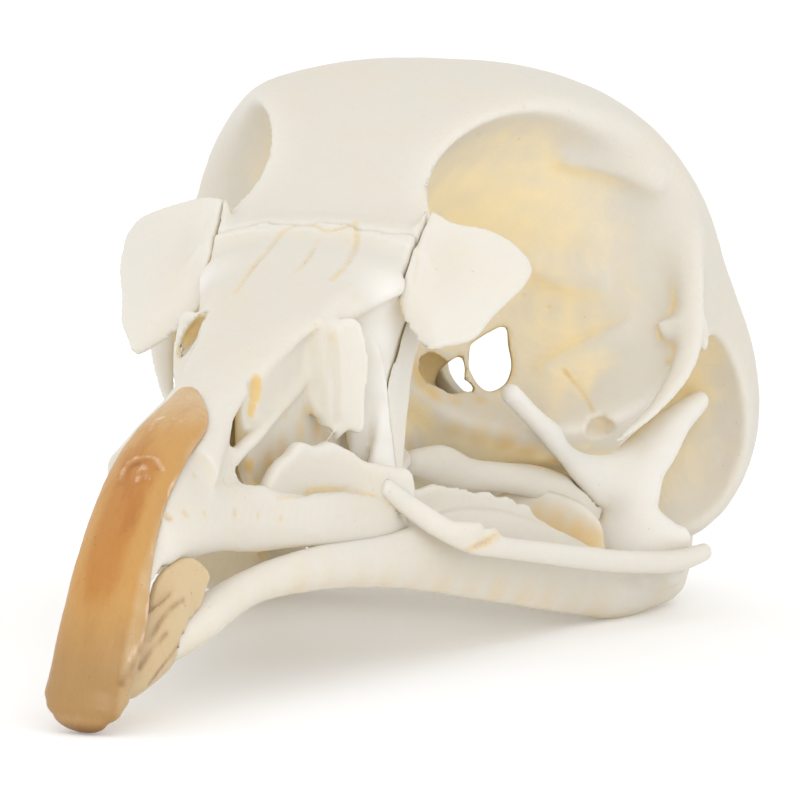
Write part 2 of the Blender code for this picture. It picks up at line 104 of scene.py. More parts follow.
class BoneFinish(bpy.types.PropertyGroup):
    light: bpy.props.FloatVectorProperty(
        name="Lit bone", description="Colour of clean bone on ridges and open faces",
        default=(0.635, 0.60, 0.53), subtype="COLOR", size=3, min=0, max=1)
    # Greasy patches in random blotches, and also painted warm shade in closed-in places that see little of
    # their surroundings
    grease_and_shade: bpy.props.FloatVectorProperty(
        name="Warm bone", description="Colour of the slightly greasy patches",
        default=(0.67, 0.60, 0.47), subtype="COLOR", size=3, min=0, max=1)
    # Painted bounce light: bone in hollows, creases and faces turned in or down is made brighter and warmer,
    # partly residue and partly standing in for light scattered between and through the bones
    hollow: bpy.props.FloatVectorProperty(
        name="Hollow bone", description="Colour of bone deep in hollows",
        default=(0.88, 0.735, 0.45), subtype="COLOR", size=3, min=0, max=1)
    # Dried residue along sutures and slits, also used as painted warm shade in deep hollows and under the jaw
    stain_and_shade: bpy.props.FloatVectorProperty(
        name="Stain", description="Colour of dried residue along sutures and slits",
        default=(0.68, 0.47, 0.17), subtype="COLOR", size=3, min=0, max=1)
    # Painted light: free rods and thin bones that stand in shade are made lighter with this colour
    edge: bpy.props.FloatVectorProperty(
        name="Thin bone", description="Colour of free rods and thin edges",
        default=(0.78, 0.755, 0.71), subtype="COLOR", size=3, min=0, max=1)
    roughness: bpy.props.FloatProperty(
        name="Roughness", description="Roughness of the bone", default=0.58, min=0, max=1)


class HornFinish(bpy.types.PropertyGroup):
    amber: bpy.props.FloatVectorProperty(
        name="Amber", description="Main colour of the horn", default=(0.50, 0.27, 0.075),
        subtype="COLOR", size=3, min=0, max=1)
    deep: bpy.props.FloatVectorProperty(
        name="Deep amber", description="Colour of the darkest band of the horn",
        default=(0.44, 0.19, 0.035), subtype="COLOR", size=3, min=0, max=1)
    pale: bpy.props.FloatVectorProperty(
        name="Pale horn", description="Colour of thin and flaking horn",
        default=(0.57, 0.44, 0.26), subtype="COLOR", size=3, min=0, max=1)
    worn: bpy.props.FloatVectorProperty(
        name="Worn horn", description="Colour of the horn towards its tip", default=(0.36, 0.205, 0.07),
        subtype="COLOR", size=3, min=0, max=1)
    roughness: bpy.props.FloatProperty(
        name="Roughness", description="Roughness of the horn", default=0.38, min=0, max=1)


class StudioSetup(bpy.types.PropertyGroup):
    azimuth: bpy.props.FloatProperty(
        name="Camera azimuth", description="Turn of the camera from straight ahead towards the bird's left",
        default=math.radians(16.57), subtype="ANGLE")
    elevation: bpy.props.FloatProperty(
        name="Camera elevation", description="Height of the camera above level",
        default=math.radians(4.378), subtype="ANGLE")
    roll: bpy.props.FloatProperty(
        name="Camera roll", description="Turn of the camera about its own view",
        default=math.radians(1.415), subtype="ANGLE")
    distance: bpy.props.FloatProperty(
        name="Camera distance", description="From the middle of the skull to the camera",
        default=178.05 * MILLIMETRE, unit="LENGTH")
    focal_pixels: bpy.props.FloatProperty(
        name="Focal length in pixels", description="Focal length for a picture 800 pixels wide",
        default=5031.9, min=500.0, max=20000.0)
    floor_colour: bpy.props.FloatVectorProperty(
        name="Floor", description="Colour of the floor", default=(0.86, 0.86, 0.86),
        subtype="COLOR", size=3, min=0, max=1)
    glow: bpy.props.FloatProperty(
        name="Floor glow", description="Light that the floor gives off, which softens the shadows",
        default=0.14, min=0.0, max=1.0)
    key_power: bpy.props.FloatProperty(
        name="Key light", description="Power of the main soft light in watts", default=0.30, min=0.0,
        max=20.0)
    sky: bpy.props.FloatProperty(
        name="Fill", description="Strength of the even light from all round", default=1.09, min=0.0, max=3.0)


def through(rows, count):
    """Rows on a smooth curve through the given rows, evenly spread along their x, y and z."""
    knots = np.array(rows, dtype=float)
    steps = np.linalg.norm(np.diff(knots[:, :3], axis=0), axis=1)
    reach = np.concatenate([[0.0], np.cumsum(steps)])
    slope = np.gradient(knots, reach, axis=0)
    at = np.linspace(0.0, reach[-1], count)
    left = np.clip(np.searchsorted(reach, at, side="right") - 1, 0, len(knots) - 2)
    span = (reach[left + 1] - reach[left])[:, None]
    t = (at - reach[left])[:, None] / span
    start = (1 + 2 * t) * (1 - t) ** 2 * knots[left] + t * (1 - t) ** 2 * span * slope[left]
    end = t * t * (3 - 2 * t) * knots[left + 1] + t * t * (t - 1) * span * slope[left + 1]
    return start + end


def mirrored(rows, side):
    """The rows on the given side."""
    return [(row[0] * side, *row[1:]) for row in rows]


def unit(vector):
    vector = np.array(vector, dtype=float)
    return vector / np.linalg.norm(vector)


def soft_step(value, low, high):
    """0 below low and 1 above high, with a smooth change."""
    t = np.clip((value - low) / (high - low), 0.0, 1.0)
    return t * t * (3 - 2 * t)


# A block of random values that the noise is read from, and the shifts that keep its readings apart
LATTICE = 32
NOISE_SHIFT = 100.37
OCTAVE_SHIFT = 7.7
LATTICE_VALUES = np.random.default_rng(11).random((LATTICE, LATTICE, LATTICE)).astype(np.float32)


def noise(points, size):
    """Smooth noise from -1 to 1 at points, with lumps of the given size (one number or three)."""
    spot = points / np.array(size) + NOISE_SHIFT
    cell = np.floor(spot).astype(np.int64)
    t = (spot - cell).astype(np.float32)
    t = t * t * (3 - 2 * t)
    total = np.zeros(len(points), dtype=np.float32)
    for corner in range(8):
        step = np.array([corner & 1, corner >> 1 & 1, corner >> 2])
        weight = np.prod(np.where(step, t, 1 - t), axis=1)
        where = (cell + step) % LATTICE
        total += weight * LATTICE_VALUES[where[:, 0], where[:, 1], where[:, 2]]
    return total * 2 - 1


def rough(points, size, octaves=3):
    """Noise with finer and fainter noise on top."""
    total = noise(points, size)
    for octave in range(1, octaves):
        total = total + noise(points + OCTAVE_SHIFT * octave, np.array(size) * 0.5 ** octave) * 0.5 ** octave
    return total / 1.6


class Clay:
    """A block of space that bone is added to and carved from, as distances in millimetres."""

    def __init__(self, low, high, step):
        self.low = np.array(low, dtype=float)
        self.step = step
        counts = np.ceil((np.array(high) - self.low) / step).astype(int) + 1
        self.axes = [(self.low[axis] + step * np.arange(counts[axis])).astype(np.float32)
                     for axis in range(3)]
        self.values = np.full(counts, FAR, dtype=np.float32)

    def window(self, low, high, margin):
        """The cells between two corners and their coordinates, or None outside the block."""
        cells = []
        for axis in range(3):
            first = int(np.searchsorted(self.axes[axis], low[axis] - margin))
            last = int(np.searchsorted(self.axes[axis], high[axis] + margin))
            if last <= first:
                return None, None
            cells.append(slice(first, last))
        spots = []
        for axis in range(3):
            shape = [1, 1, 1]
            shape[axis] = -1
            spots.append(self.axes[axis][cells[axis]].reshape(shape))
        return tuple(cells), spots

    def merge(self, cells, distance, blend, carve=False):
        """Blends a distance into the block, as more bone or as a hollow."""
        old = self.values[cells]
        if carve:
            old = -old
        mix = np.maximum(blend - np.abs(old - distance), 0.0)
        new = np.minimum(old, distance) - mix * mix / (4 * blend)
        self.values[cells] = -new if carve else new

    def bar(self, rows, steps=20, blend=0.4, up=(0.0, 0.0, 1.0), carve=False):
        """A rounded bar through rows of x, y, z, half thickness and half height."""
        rows = through(rows, steps)
        centres, halves = rows[:, :3], np.maximum(rows[:, 3:5], 0.03)
        margin = blend + 4 * self.step
        reach = halves.max()
        cells, spots = self.window(centres.min(axis=0) - reach, centres.max(axis=0) + reach, margin)
        if cells is None:
            return
        field = np.full(self.values[cells].shape, FAR, dtype=np.float32)
        starts = [cell.start for cell in cells]
        for one, two, half_one, half_two in zip(centres[:-1], centres[1:], halves[:-1], halves[1:]):
            thick = max(half_one.max(), half_two.max())
            part, spots = self.window(np.minimum(one, two) - thick, np.maximum(one, two) + thick, margin)
            if part is None:
                continue
            x, y, z = spots
            local = tuple(slice(p.start - s, p.stop - s) for p, s in zip(part, starts))
            along = two - one
            heading = along / np.linalg.norm(along)
            across = unit(np.cross(heading, up))
            upward = np.cross(across, heading)
            x, y, z = x - one[0], y - one[1], z - one[2]
            t = np.clip((x * along[0] + y * along[1] + z * along[2]) / along.dot(along), 0.0, 1.0)
            x, y, z = x - t * along[0], y - t * along[1], z - t * along[2]
            wide = half_one[0] + t * (half_two[0] - half_one[0])
            high = half_one[1] + t * (half_two[1] - half_one[1])
            end = np.minimum(wide, high)
            u = (x * across[0] + y * across[1] + z * across[2]) / wide
            v = (x * upward[0] + y * upward[1] + z * upward[2]) / high
            w = (x * heading[0] + y * heading[1] + z * heading[2]) / end
            ring = np.sqrt(u * u + v * v + w * w)
            slope = np.sqrt((u / wide) ** 2 + (v / high) ** 2 + (w / end) ** 2)
            distance = ring * (ring - 1) / np.maximum(slope, 1e-4)
            field[local] = np.minimum(field[local], distance)
        self.merge(cells, field, blend, carve)

    def lump(self, centre, radii, blend=0.5, carve=False):
        """An ellipsoid."""
        centre, radii = np.array(centre, dtype=float), np.array(radii, dtype=float)
        cells, spots = self.window(centre - radii, centre + radii, blend + 4 * self.step)
        if cells is None:
            return
        ring, slope = 0.0, 0.0
        for spot, middle, radius in zip(spots, centre, radii):
            part = (spot - middle) / radius
            ring = ring + part * part
            slope = slope + (part / radius) ** 2
        ring = np.sqrt(ring)
        distance = ring * (ring - 1) / np.maximum(np.sqrt(slope), 1e-4)
        self.merge(cells, distance, blend, carve)

    def shell(self, rows, waist=0.45, upper_power=2.3, lower_power=2.3, blend=0.5, carve=False, grow=0.0):
        """A symmetric body through rows of y, top z, bottom z and half width."""
        rows = np.array(rows, dtype=float)
        fine = through(np.column_stack([rows[:, 0] * 0, rows[:, 0], rows[:, 0] * 0,
                                        rows[:, 1:]]), 160)[:, [1, 3, 4, 5]]
        fine = fine[np.argsort(fine[:, 0])]
        widest = fine[:, 3].max()
        low = (-widest, fine[0, 0], fine[:, 2].min())
        high = (widest, fine[-1, 0], fine[:, 1].max())
        cells, spots = self.window(low, high, blend + 4 * self.step + grow)
        if cells is None:
            return
        x, y, z = spots
        line = y.ravel()
        inside = np.clip(line, fine[0, 0], fine[-1, 0])
        top, bottom, half = (np.interp(inside, fine[:, 0], fine[:, column]) for column in (1, 2, 3))
        half = np.maximum(half, 0.05).reshape(y.shape)
        middle = (bottom + (top - bottom) * waist).reshape(y.shape)
        above = np.maximum((top - bottom) * (1 - waist), 0.05).reshape(y.shape)
        below = np.maximum((top - bottom) * waist, 0.05).reshape(y.shape)
        rise = z - middle
        upper = (np.abs(x) / half) ** upper_power + (np.maximum(rise, 0) / above) ** upper_power
        lower = (np.abs(x) / half) ** lower_power + (np.maximum(-rise, 0) / below) ** lower_power
        ring = np.where(rise > 0, upper ** (1 / upper_power), lower ** (1 / lower_power)).astype(np.float32)
        slopes = np.gradient(ring, self.step)
        steep = np.sqrt(sum(slope * slope for slope in slopes))
        distance = (ring - 1) / np.maximum(steep, 0.02) - grow
        ends = np.maximum(fine[0, 0] - y, y - fine[-1, 0]) - grow
        distance = np.maximum(distance, ends)
        self.merge(cells, distance.astype(np.float32), blend, carve)

    def plate(self, outline, place, across, upward, thickness, edge=None, bend=(0.0, 0.0), blend=0.3,
              carve=False, points=48):
        """A plate inside a smooth closed outline, which can thin towards its edge and bow."""
        place, across = np.array(place, dtype=float), unit(across)
        upward = unit(np.array(upward, dtype=float) - across * across.dot(upward))
        normal = np.cross(across, upward)
        rim = through([(*point, 0.0) for point in (*outline, outline[0])], points + 1)[:-1, :2]
        corners = [place + u * across + v * upward + w * normal
                   for u, v in rim for w in (-thickness, thickness)]
        bow_reach = (np.abs(bend[0]) * np.abs(rim[:, 0]).max() ** 2
                     + np.abs(bend[1]) * np.abs(rim[:, 1]).max() ** 2)
        cells, spots = self.window(np.min(corners, axis=0) - bow_reach, np.max(corners, axis=0) + bow_reach,
                                   blend + 4 * self.step)
        if cells is None:
            return
        x, y, z = (spot - middle for spot, middle in zip(spots, place))
        u = x * across[0] + y * across[1] + z * across[2]
        v = x * upward[0] + y * upward[1] + z * upward[2]
        w = x * normal[0] + y * normal[1] + z * normal[2] - bend[0] * u * u - bend[1] * v * v
        flat = polygon_distance(u, v, rim)
        edge = thickness if edge is None else edge
        half = (edge + (thickness - edge) * soft_step(-flat, 0.0, 1.4)) / 2
        side = np.abs(w) - half
        rounding = min(edge * 0.45, 0.2)
        outward = np.maximum(flat + rounding, 0.0)
        sideways = np.maximum(side + rounding, 0.0)
        distance = (np.minimum(np.maximum(flat + rounding, side + rounding), 0.0)
                    + np.sqrt(outward ** 2 + sideways ** 2) - rounding)
        self.merge(cells, distance.astype(np.float32), blend, carve)

    def clip(self, region, blend=0.14):
        """Keeps only what lies where region(x, y, z) is negative, with slightly rounded edges."""
        x, y, z = (self.axes[axis].reshape([-1 if axis == other else 1 for other in range(3)])
                   for axis in range(3))
        limit = region(x, y, z)
        mix = np.maximum(blend - np.abs(self.values - limit), 0.0)
        self.values = (np.maximum(self.values, limit) + mix * mix / (4 * blend)).astype(np.float32)

    def copy(self):
        other = Clay.__new__(Clay)
        other.low, other.step, other.axes = self.low, self.step, self.axes
        other.values = self.values.copy()
        return other

    def distance_at(self, points):
        """Distance at points by the nearest eight cells."""
        spot = (np.asarray(points) - self.low) / self.step
        limit = np.array(self.values.shape) - 2
        inside = np.all((spot >= 0) & (spot < limit + 1), axis=1)
        cell = np.clip(np.floor(spot).astype(int), 0, limit)
        t = np.clip(spot - cell, 0.0, 1.0)
        total = np.zeros(len(cell))
        for corner in range(8):
            step = np.array([corner & 1, corner >> 1 & 1, corner >> 2])
            weight = np.prod(np.where(step, t, 1 - t), axis=1)
            where = cell + step
            total += weight * np.minimum(self.values[where[:, 0], where[:, 1], where[:, 2]], 5.0)
        return np.where(inside, total, 5.0)

    def crowding(self, radius):
        """Share of bone within a cube of the given half width, as a block."""
        filled = (self.values < 0).astype(np.float32)
        reach = max(1, int(round(radius / self.step)))
        for axis in range(3):
            padded = np.concatenate([np.zeros_like(filled.take([0], axis)), np.cumsum(filled, axis)], axis)
            count = filled.shape[axis]
            first = np.clip(np.arange(count) - reach, 0, count)
            last = np.clip(np.arange(count) + reach + 1, 0, count)
            filled = (padded.take(last, axis) - padded.take(first, axis)) / (2 * reach + 1)
        return filled

    def sample(self, block, points):
        cell = np.clip(np.rint((points - self.low) / self.step).astype(int), 0, np.array(block.shape) - 1)
        return block[cell[:, 0], cell[:, 1], cell[:, 2]]


def polygon_distance(u, v, rim):
    """Signed distance in a plane to a closed outline, negative inside."""
    best = np.full(np.broadcast(u, v).shape, FAR * FAR, dtype=np.float32)
    inside = np.zeros(best.shape, dtype=bool)
    for (u0, v0), (u1, v1) in zip(rim, np.roll(rim, -1, axis=0)):
        du, dv = u1 - u0, v1 - v0
        length = du * du + dv * dv
        if length < 1e-12:
            continue
        t = np.clip(((u - u0) * du + (v - v0) * dv) / length, 0.0, 1.0)
        gap = (u - u0 - t * du) ** 2 + (v - v0 - t * dv) ** 2
        best = np.minimum(best, gap)
        crossing = (v0 > v) != (v1 > v)
        if abs(dv) > 1e-9:
            inside ^= crossing & (u < u0 + (v - v0) * du / dv)
    return np.where(inside, -np.sqrt(best), np.sqrt(best))


class PhotoView:
    """The photograph's camera in the skull's frame, to place parts by the pixel they are seen at."""

    def __init__(self, studio):
        turn, rise, roll = studio.azimuth, studio.elevation, studio.roll
        back = np.array([math.sin(turn) * math.cos(rise), -math.cos(turn) * math.cos(rise), math.sin(rise)])
        right = np.array([math.cos(turn), math.sin(turn), 0.0])
        up = np.cross(back, right)
        self.back = back
        self.right = right * math.cos(roll) + up * math.sin(roll)
        self.up = up * math.cos(roll) - right * math.sin(roll)
        self.focal = studio.focal_pixels
        self.place = (np.array(AIM) + back * studio.distance / MILLIMETRE + self.right * AIM_RIGHT
                      - self.up * AIM_DOWN)

    def ray(self, px, py):
        half = PHOTO_PIXELS / 2
        return self.right * (px - half) / self.focal + self.up * (half - py) / self.focal - self.back

    def at(self, px, py, y):
        """The point seen at a pixel, on the plane that lies y behind the tip of the bill."""
        way = self.ray(px, py)
        return tuple(self.place + way * (y - self.place[1]) / way[1])

    def rows(self, rows, grow=0.0):
        """Rows of a bar whose middles are given as pixel and y, with their half sizes."""
        return [(*self.at(px, py, y), thick + grow, high + grow) for px, py, y, thick, high in rows]

    def seen(self, clay, px, py):
        """The first point of the clay's surface seen at a pixel, or None."""
        way = self.ray(px, py)
        reach = np.arange(NEAREST, FARTHEST, clay.step * 0.7)
        points = self.place + way * reach[:, None]
        depth = clay.distance_at(points)
        inside = np.flatnonzero(depth < 0)
        if not len(inside) or inside[0] == 0:
            return None
        last, first = inside[0] - 1, inside[0]
        return points[last] + (points[first] - points[last]) * depth[last] / (depth[last] - depth[first])

    def traced(self, clay, pixels, gap=2.5):
        """Points of the clay's surface that are seen along a line of pixels."""
        length = np.linalg.norm(np.diff(np.array(pixels, dtype=float), axis=0), axis=1).sum()
        rows = through([(px, py, 0.0) for px, py in pixels], max(3, int(length / gap)))
        spots = [self.seen(clay, px, py) for px, py, _ in rows]
        return [spot for spot in spots if spot is not None]

    def traced_all(self, clay, lines):
        return [spot for pixels in lines for spot in self.traced(clay, pixels)]

    def groove(self, clay, pixels, wide, deep):
        """Cuts a slit into the clay along a line of pixels."""
        spots = self.traced(clay, pixels)
        if len(spots) > 1:
            ends = np.sin(np.linspace(0.25, math.pi - 0.25, len(spots)))
            clay.bar([(*spot, wide * end, deep * end) for spot, end in zip(spots, ends)],
                     steps=3 * len(spots), blend=0.05, up=self.back, carve=True)
        return spots

    def ridge(self, clay, pixels, wide, high):
        """Raises a soft ridge on the clay along a line of pixels."""
        spots = self.traced(clay, pixels, 6.0)
        if len(spots) > 1:
            ends = np.sin(np.linspace(0.3, math.pi - 0.3, len(spots)))
            clay.bar([(*spot, wide * end, high * end) for spot, end in zip(spots, ends)],
                     steps=2 * len(spots), blend=0.7, up=self.back)

    def sheet(self, clay, pixels, place, thickness, along=None, rise=None, side=LEFT, blend=0.3, bow=0.0,
              edge=None, carve=False):
        """A plate through a place, with its outline drawn in pixels; it faces the camera unless turned."""
        place = np.array(place, dtype=float)
        across = self.right if along is None else unit(along)
        rise = self.up if rise is None else np.array(rise, dtype=float)
        upward = unit(rise - across * across.dot(rise))
        normal = np.cross(across, upward)
        outline = []
        for px, py in pixels:
            way = self.ray(px, py)
            gap = self.place + way * (place - self.place).dot(normal) / way.dot(normal) - place
            outline.append((gap.dot(across), gap.dot(upward)))
        flip = np.array([side, 1.0, 1.0])
        clay.plate(outline, place * flip, across * flip, upward * flip, thickness, edge=edge, blend=blend,
                   bend=(bow * side, 0.0), carve=carve, points=8 * len(pixels))


def skin(clay):
    """Points and four-sided faces of the surface where the distance is zero."""
    values = clay.values
    inside = values < 0
    corners = [(i, j, k) for i in (0, 1) for j in (0, 1) for k in (0, 1)]
    some = np.zeros(np.array(values.shape) - 1, dtype=bool)
    every = np.ones_like(some)
    for i, j, k in corners:
        part = inside[i:inside.shape[0] - 1 + i, j:inside.shape[1] - 1 + j, k:inside.shape[2] - 1 + k]
        some |= part
        every &= part
    mixed = some & ~every
    cells = np.argwhere(mixed)
    number = np.full(mixed.shape, -1, dtype=np.int64)
    number[mixed] = np.arange(len(cells))
    total = np.zeros((len(cells), 3))
    count = np.zeros(len(cells))
    for one in corners:
        for axis in range(3):
            if one[axis]:
                continue
            two = list(one)
            two[axis] = 1
            a = values[cells[:, 0] + one[0], cells[:, 1] + one[1], cells[:, 2] + one[2]]
            b = values[cells[:, 0] + two[0], cells[:, 1] + two[1], cells[:, 2] + two[2]]
            crossing = (a < 0) != (b < 0)
            a, b = np.clip(a, -5, 5), np.clip(b, -5, 5)
            t = np.where(crossing, a / np.where(crossing, a - b, 1.0), 0.0)
            spot = np.array(one, dtype=float) + np.zeros((len(cells), 3))
            spot[:, axis] = t
            total[crossing] += spot[crossing]
            count += crossing
    points = clay.low + (cells + total / count[:, None]) * clay.step
    faces = []
    for axis in range(3):
        low = [slice(None)] * 3
        high = [slice(None)] * 3
        low[axis], high[axis] = slice(None, -1), slice(1, None)
        edges = np.argwhere(inside[tuple(low)] != inside[tuple(high)])
        one, two = (axis + 1) % 3, (axis + 2) % 3
        keep = ((edges[:, one] > 0) & (edges[:, two] > 0)
                & (edges[:, one] < values.shape[one] - 1) & (edges[:, two] < values.shape[two] - 1))
        edges = edges[keep]
        ring = []
        for back_one, back_two in ((1, 1), (0, 1), (0, 0), (1, 0)):
            where = edges.copy()
            where[:, one] -= back_one
            where[:, two] -= back_two
            ring.append(number[where[:, 0], where[:, 1], where[:, 2]])
        quads = np.column_stack(ring)
        leaving = inside[edges[:, 0], edges[:, 1], edges[:, 2]]
        quads[~leaving] = quads[~leaving][:, ::-1]
        faces.append(quads)
    return points, np.vstack(faces)


def relax(points, faces, rounds, strength=0.5):
    """Evens out the skin without shrinking it."""
    edges = np.vstack([faces[:, [0, 1]], faces[:, [1, 2]], faces[:, [2, 3]], faces[:, [3, 0]]])
    edges = np.vstack([edges, edges[:, ::-1]])
    count = np.bincount(edges[:, 0], minlength=len(points))[:, None]
    for turn in range(rounds * 2):
        amount = strength if turn % 2 == 0 else -strength * 1.04
        mean = np.column_stack([np.bincount(edges[:, 0], weights=points[edges[:, 1], axis],
                                            minlength=len(points))
                                for axis in range(3)]) / np.maximum(count, 1)
        points = points + (mean - points) * amount
    return points


def normals(points, faces):
    """The outward direction at each point."""
    a = points[faces[:, 2]] - points[faces[:, 0]]
    b = points[faces[:, 3]] - points[faces[:, 1]]
    flat = np.cross(a, b)
    total = np.column_stack([
        sum(np.bincount(faces[:, corner], weights=flat[:, axis],
                        minlength=len(points)) for corner in range(4))
        for axis in range(3)])
    return total / np.maximum(np.linalg.norm(total, axis=1), 1e-9)[:, None]


def largest_part(points, faces):
    """Drops every loose scrap and keeps the largest connected surface."""
    group = np.arange(len(points))
    while True:
        least = group[faces].min(axis=1)
        new = group.copy()
        for corner in range(4):
            np.minimum.at(new, faces[:, corner], least)
        new = new[new]
        if np.array_equal(new, group):
            break
        group = new
    main = np.bincount(group).argmax()
    kept = group == main
    faces = faces[kept[faces[:, 0]]]
    order = np.cumsum(kept) - 1
    return points[kept], order[faces]


def make_piece(name, points, faces, marks, finish):
    """A mesh object in metres, with per-point marks that its material reads."""
    sizes = bpy.context.scene.skull_sizes
    scale = sizes.length / (SKULL_LENGTH * MILLIMETRE)
    places = (points - (0.0, MID_LENGTH, 0.0)) * MILLIMETRE * scale
    mesh = bpy.data.meshes.new(name)
    mesh.vertices.add(len(places))
    mesh.vertices.foreach_set("co", places.astype(np.float32).ravel())
    mesh.loops.add(faces.size)
    mesh.loops.foreach_set("vertex_index", faces.astype(np.int32).ravel())
    mesh.polygons.add(len(faces))
    mesh.polygons.foreach_set("loop_start", np.arange(0, faces.size, 4, dtype=np.int32))
    mesh.update(calc_edges=True)
    mesh.validate()
    mesh.shade_smooth()
    for word, values in marks.items():
        layer = mesh.attributes.new(word, "FLOAT", "POINT")
        layer.data.foreach_set("value", values.astype(np.float32))
    piece = bpy.data.objects.new(name, mesh)
    bpy.context.scene.collection.objects.link(piece)
    mesh.materials.append(finish)
    return piece


def place_in_frame(piece, node):
    """Hangs a piece on the part in place of its node."""
    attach(piece, "root")
    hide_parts(node)


def tint_share(points, tint_spots):
    """How strongly spots with a reach and a strength colour each point."""
    order = np.argsort(points[:, 0])
    placed, total = points[order], np.zeros(len(points))
    for spot, reach, strength in tint_spots:
        first, last = np.searchsorted(placed[:, 0], (spot[0] - 3 * reach, spot[0] + 3 * reach))
        gap = np.linalg.norm(placed[first:last] - np.array(spot), axis=1)
        total[first:last] = np.maximum(total[first:last], strength * np.exp(-(gap / reach) ** 2))
    result = np.empty(len(points))
    result[order] = total
    return result


def near_line(points, spots, reach):
    """1 on a line of spots, fading to 0 over the reach."""
    return tint_share(points, [(spot, reach, 1.0) for spot in spots])


def bone_piece(name, clay, nodes, tint_spots=(), relief=0.03, rounds=2, finish=None, extra=None,
               pale=0.0):
    """Skins a bone, roughens it, marks its hollows and closed-in places for painted shade and bounce light,
    marks its stains and spots of painted shade, and puts it in the frame.
    """
    points, faces = skin(clay)
    points, faces = largest_part(points, faces)
    points = relax(points, faces, rounds)
    outward = normals(points, faces)
    amount = relief * bpy.context.scene.skull_sizes.relief
    lift = rough(points, 1.1) * 0.6 + rough(points + 31.0, (0.45, 1.1, 0.45), 2) * 0.4
    points = points + outward * (lift * amount)[:, None]
    # Share of bone close round each point, near and wide: it sets the painted shade and painted bounce light
    # in creases and hollows
    near = clay.sample(clay.crowding(NEAR_RADIUS), points + outward * 0.35)
    wide = clay.sample(clay.crowding(WIDE_RADIUS), points + outward * 0.9)
    # The pale mark is painted light: it lightens rods and thin bones that stand in shade
    marks = {"tight": near, "hollow": wide, "pale": np.full(len(points), pale)}
    # Painted shade: faces turned in towards the middle of the skull or turned down are marked, and take the
    # warmer hollow colour
    turned_in = -outward[:, 0] * np.sign(points[:, 0]) * soft_step(np.abs(points[:, 0]), 0.8, 2.5)
    marks["inner"] = np.clip(np.maximum(turned_in, -outward[:, 2] * 0.8), 0.0, 1.0)
    # Openness: closed-in places get painted warm shade
    marks["open"] = OpenSpace.at(points + outward * 0.8)
    # Spots of residue, and of painted warm shade in deep hollows and under the jaw
    marks["stain_and_shade"] = tint_share(points, tint_spots)
    if extra:
        marks.update(extra(points))
    for side, node in zip((LEFT, RIGHT), nodes):
        placed, wound = points, faces
        if side == RIGHT:
            placed = points * (-1, 1, 1)
            wound = faces[:, ::-1]
        word = name if len(nodes) == 1 else name + ("_left" if side == LEFT else "_right")
        piece = make_piece(word, placed, wound, marks, finish or bone_material())
        place_in_frame(piece, node)


class Value:
    """A node socket that can be used in arithmetic."""

    def __init__(self, tree, socket):
        self.tree, self.socket = tree, socket

    def _math(self, operation, first, second):
        return self.tree.node("ShaderNodeMath", {"operation": operation}, {0: first, 1: second})

    def __add__(self, other):
        return self._math("ADD", self, other)

    __radd__ = __add__

    def __mul__(self, other):
        return self._math("MULTIPLY", self, other)

    __rmul__ = __mul__

    def __sub__(self, other):
        return self._math("SUBTRACT", self, other)

    def __rsub__(self, other):
        return self._math("SUBTRACT", other, self)

    def least(self, other):
        return self._math("MINIMUM", self, other)

    def most(self, other):
        return self._math("MAXIMUM", self, other)

    def between(self, low, high):
        """0 below low and 1 above high, with a smooth change."""
        return self.tree.node("ShaderNodeMapRange", {"interpolation_type": "SMOOTHSTEP"},
                              {"Value": self, "From Min": low, "From Max": high}, "Result")


class Tree:
    """The nodes of one material."""

    def __init__(self, material):
        material.use_nodes = True
        self.nodes, self.links = material.node_tree.nodes, material.node_tree.links
        self.shader = self.nodes["Principled BSDF"]

    def node(self, kind, settings=None, sockets=None, output=0):
        made = self.nodes.new(kind)
        for word, value in (settings or {}).items():
            setattr(made, word, value)
        for word, value in (sockets or {}).items():
            self.feed(made.inputs[word], value)
        return Value(self, made.outputs[output])

    def feed(self, socket, value):
        if isinstance(value, Value):
            self.links.new(value.socket, socket)
        elif hasattr(socket.default_value, "__len__") and len(socket.default_value) == 4 and len(value) == 3:
            socket.default_value = (*value, 1.0)
        else:
            socket.default_value = value

    def mix(self, share, one, two):
        """A colour between two colours."""
        return self.node("ShaderNodeMix", {"data_type": "RGBA"}, {0: share, 6: one, 7: two}, 2)

    def tint(self, share, base, colour):
        return self.node("ShaderNodeMix", {"data_type": "RGBA", "blend_type": "MULTIPLY"},
                         {0: share, 6: base, 7: colour}, 2)

    def mark(self, word):
        return self.node("ShaderNodeAttribute", {"attribute_name": word}, {}, "Fac")

    def place(self, scale=(1.0, 1.0, 1.0)):
        """The object's own coordinates, in millimetres, stretched by the scale."""
        spot = self.node("ShaderNodeTexCoord", {}, {}, "Object")
        factor = tuple(part / MILLIMETRE for part in scale)
        return self.node("ShaderNodeVectorMath", {"operation": "MULTIPLY"}, {0: spot, 1: factor}, "Vector")

    def speckle(self, scale, detail=4.0, rough=0.6, stretch=(1.0, 1.0, 1.0)):
        return self.node("ShaderNodeTexNoise", {"normalize": True},
                         {"Vector": self.place(stretch), "Scale": scale, "Detail": detail,
                          "Roughness": rough}, "Fac")

    def cells(self, scale):
        return self.node("ShaderNodeTexVoronoi", {"feature": "F1"}, {"Vector": self.place(), "Scale": scale},
                         "Distance")

    def bump(self, height, strength, distance):
        return self.node("ShaderNodeBump", {}, {"Strength": strength, "Distance": distance, "Height": height},
                         "Normal")

    def finish(self, **sockets):
        for word, value in sockets.items():
            self.feed(self.shader.inputs[word.replace("_", " ")], value)


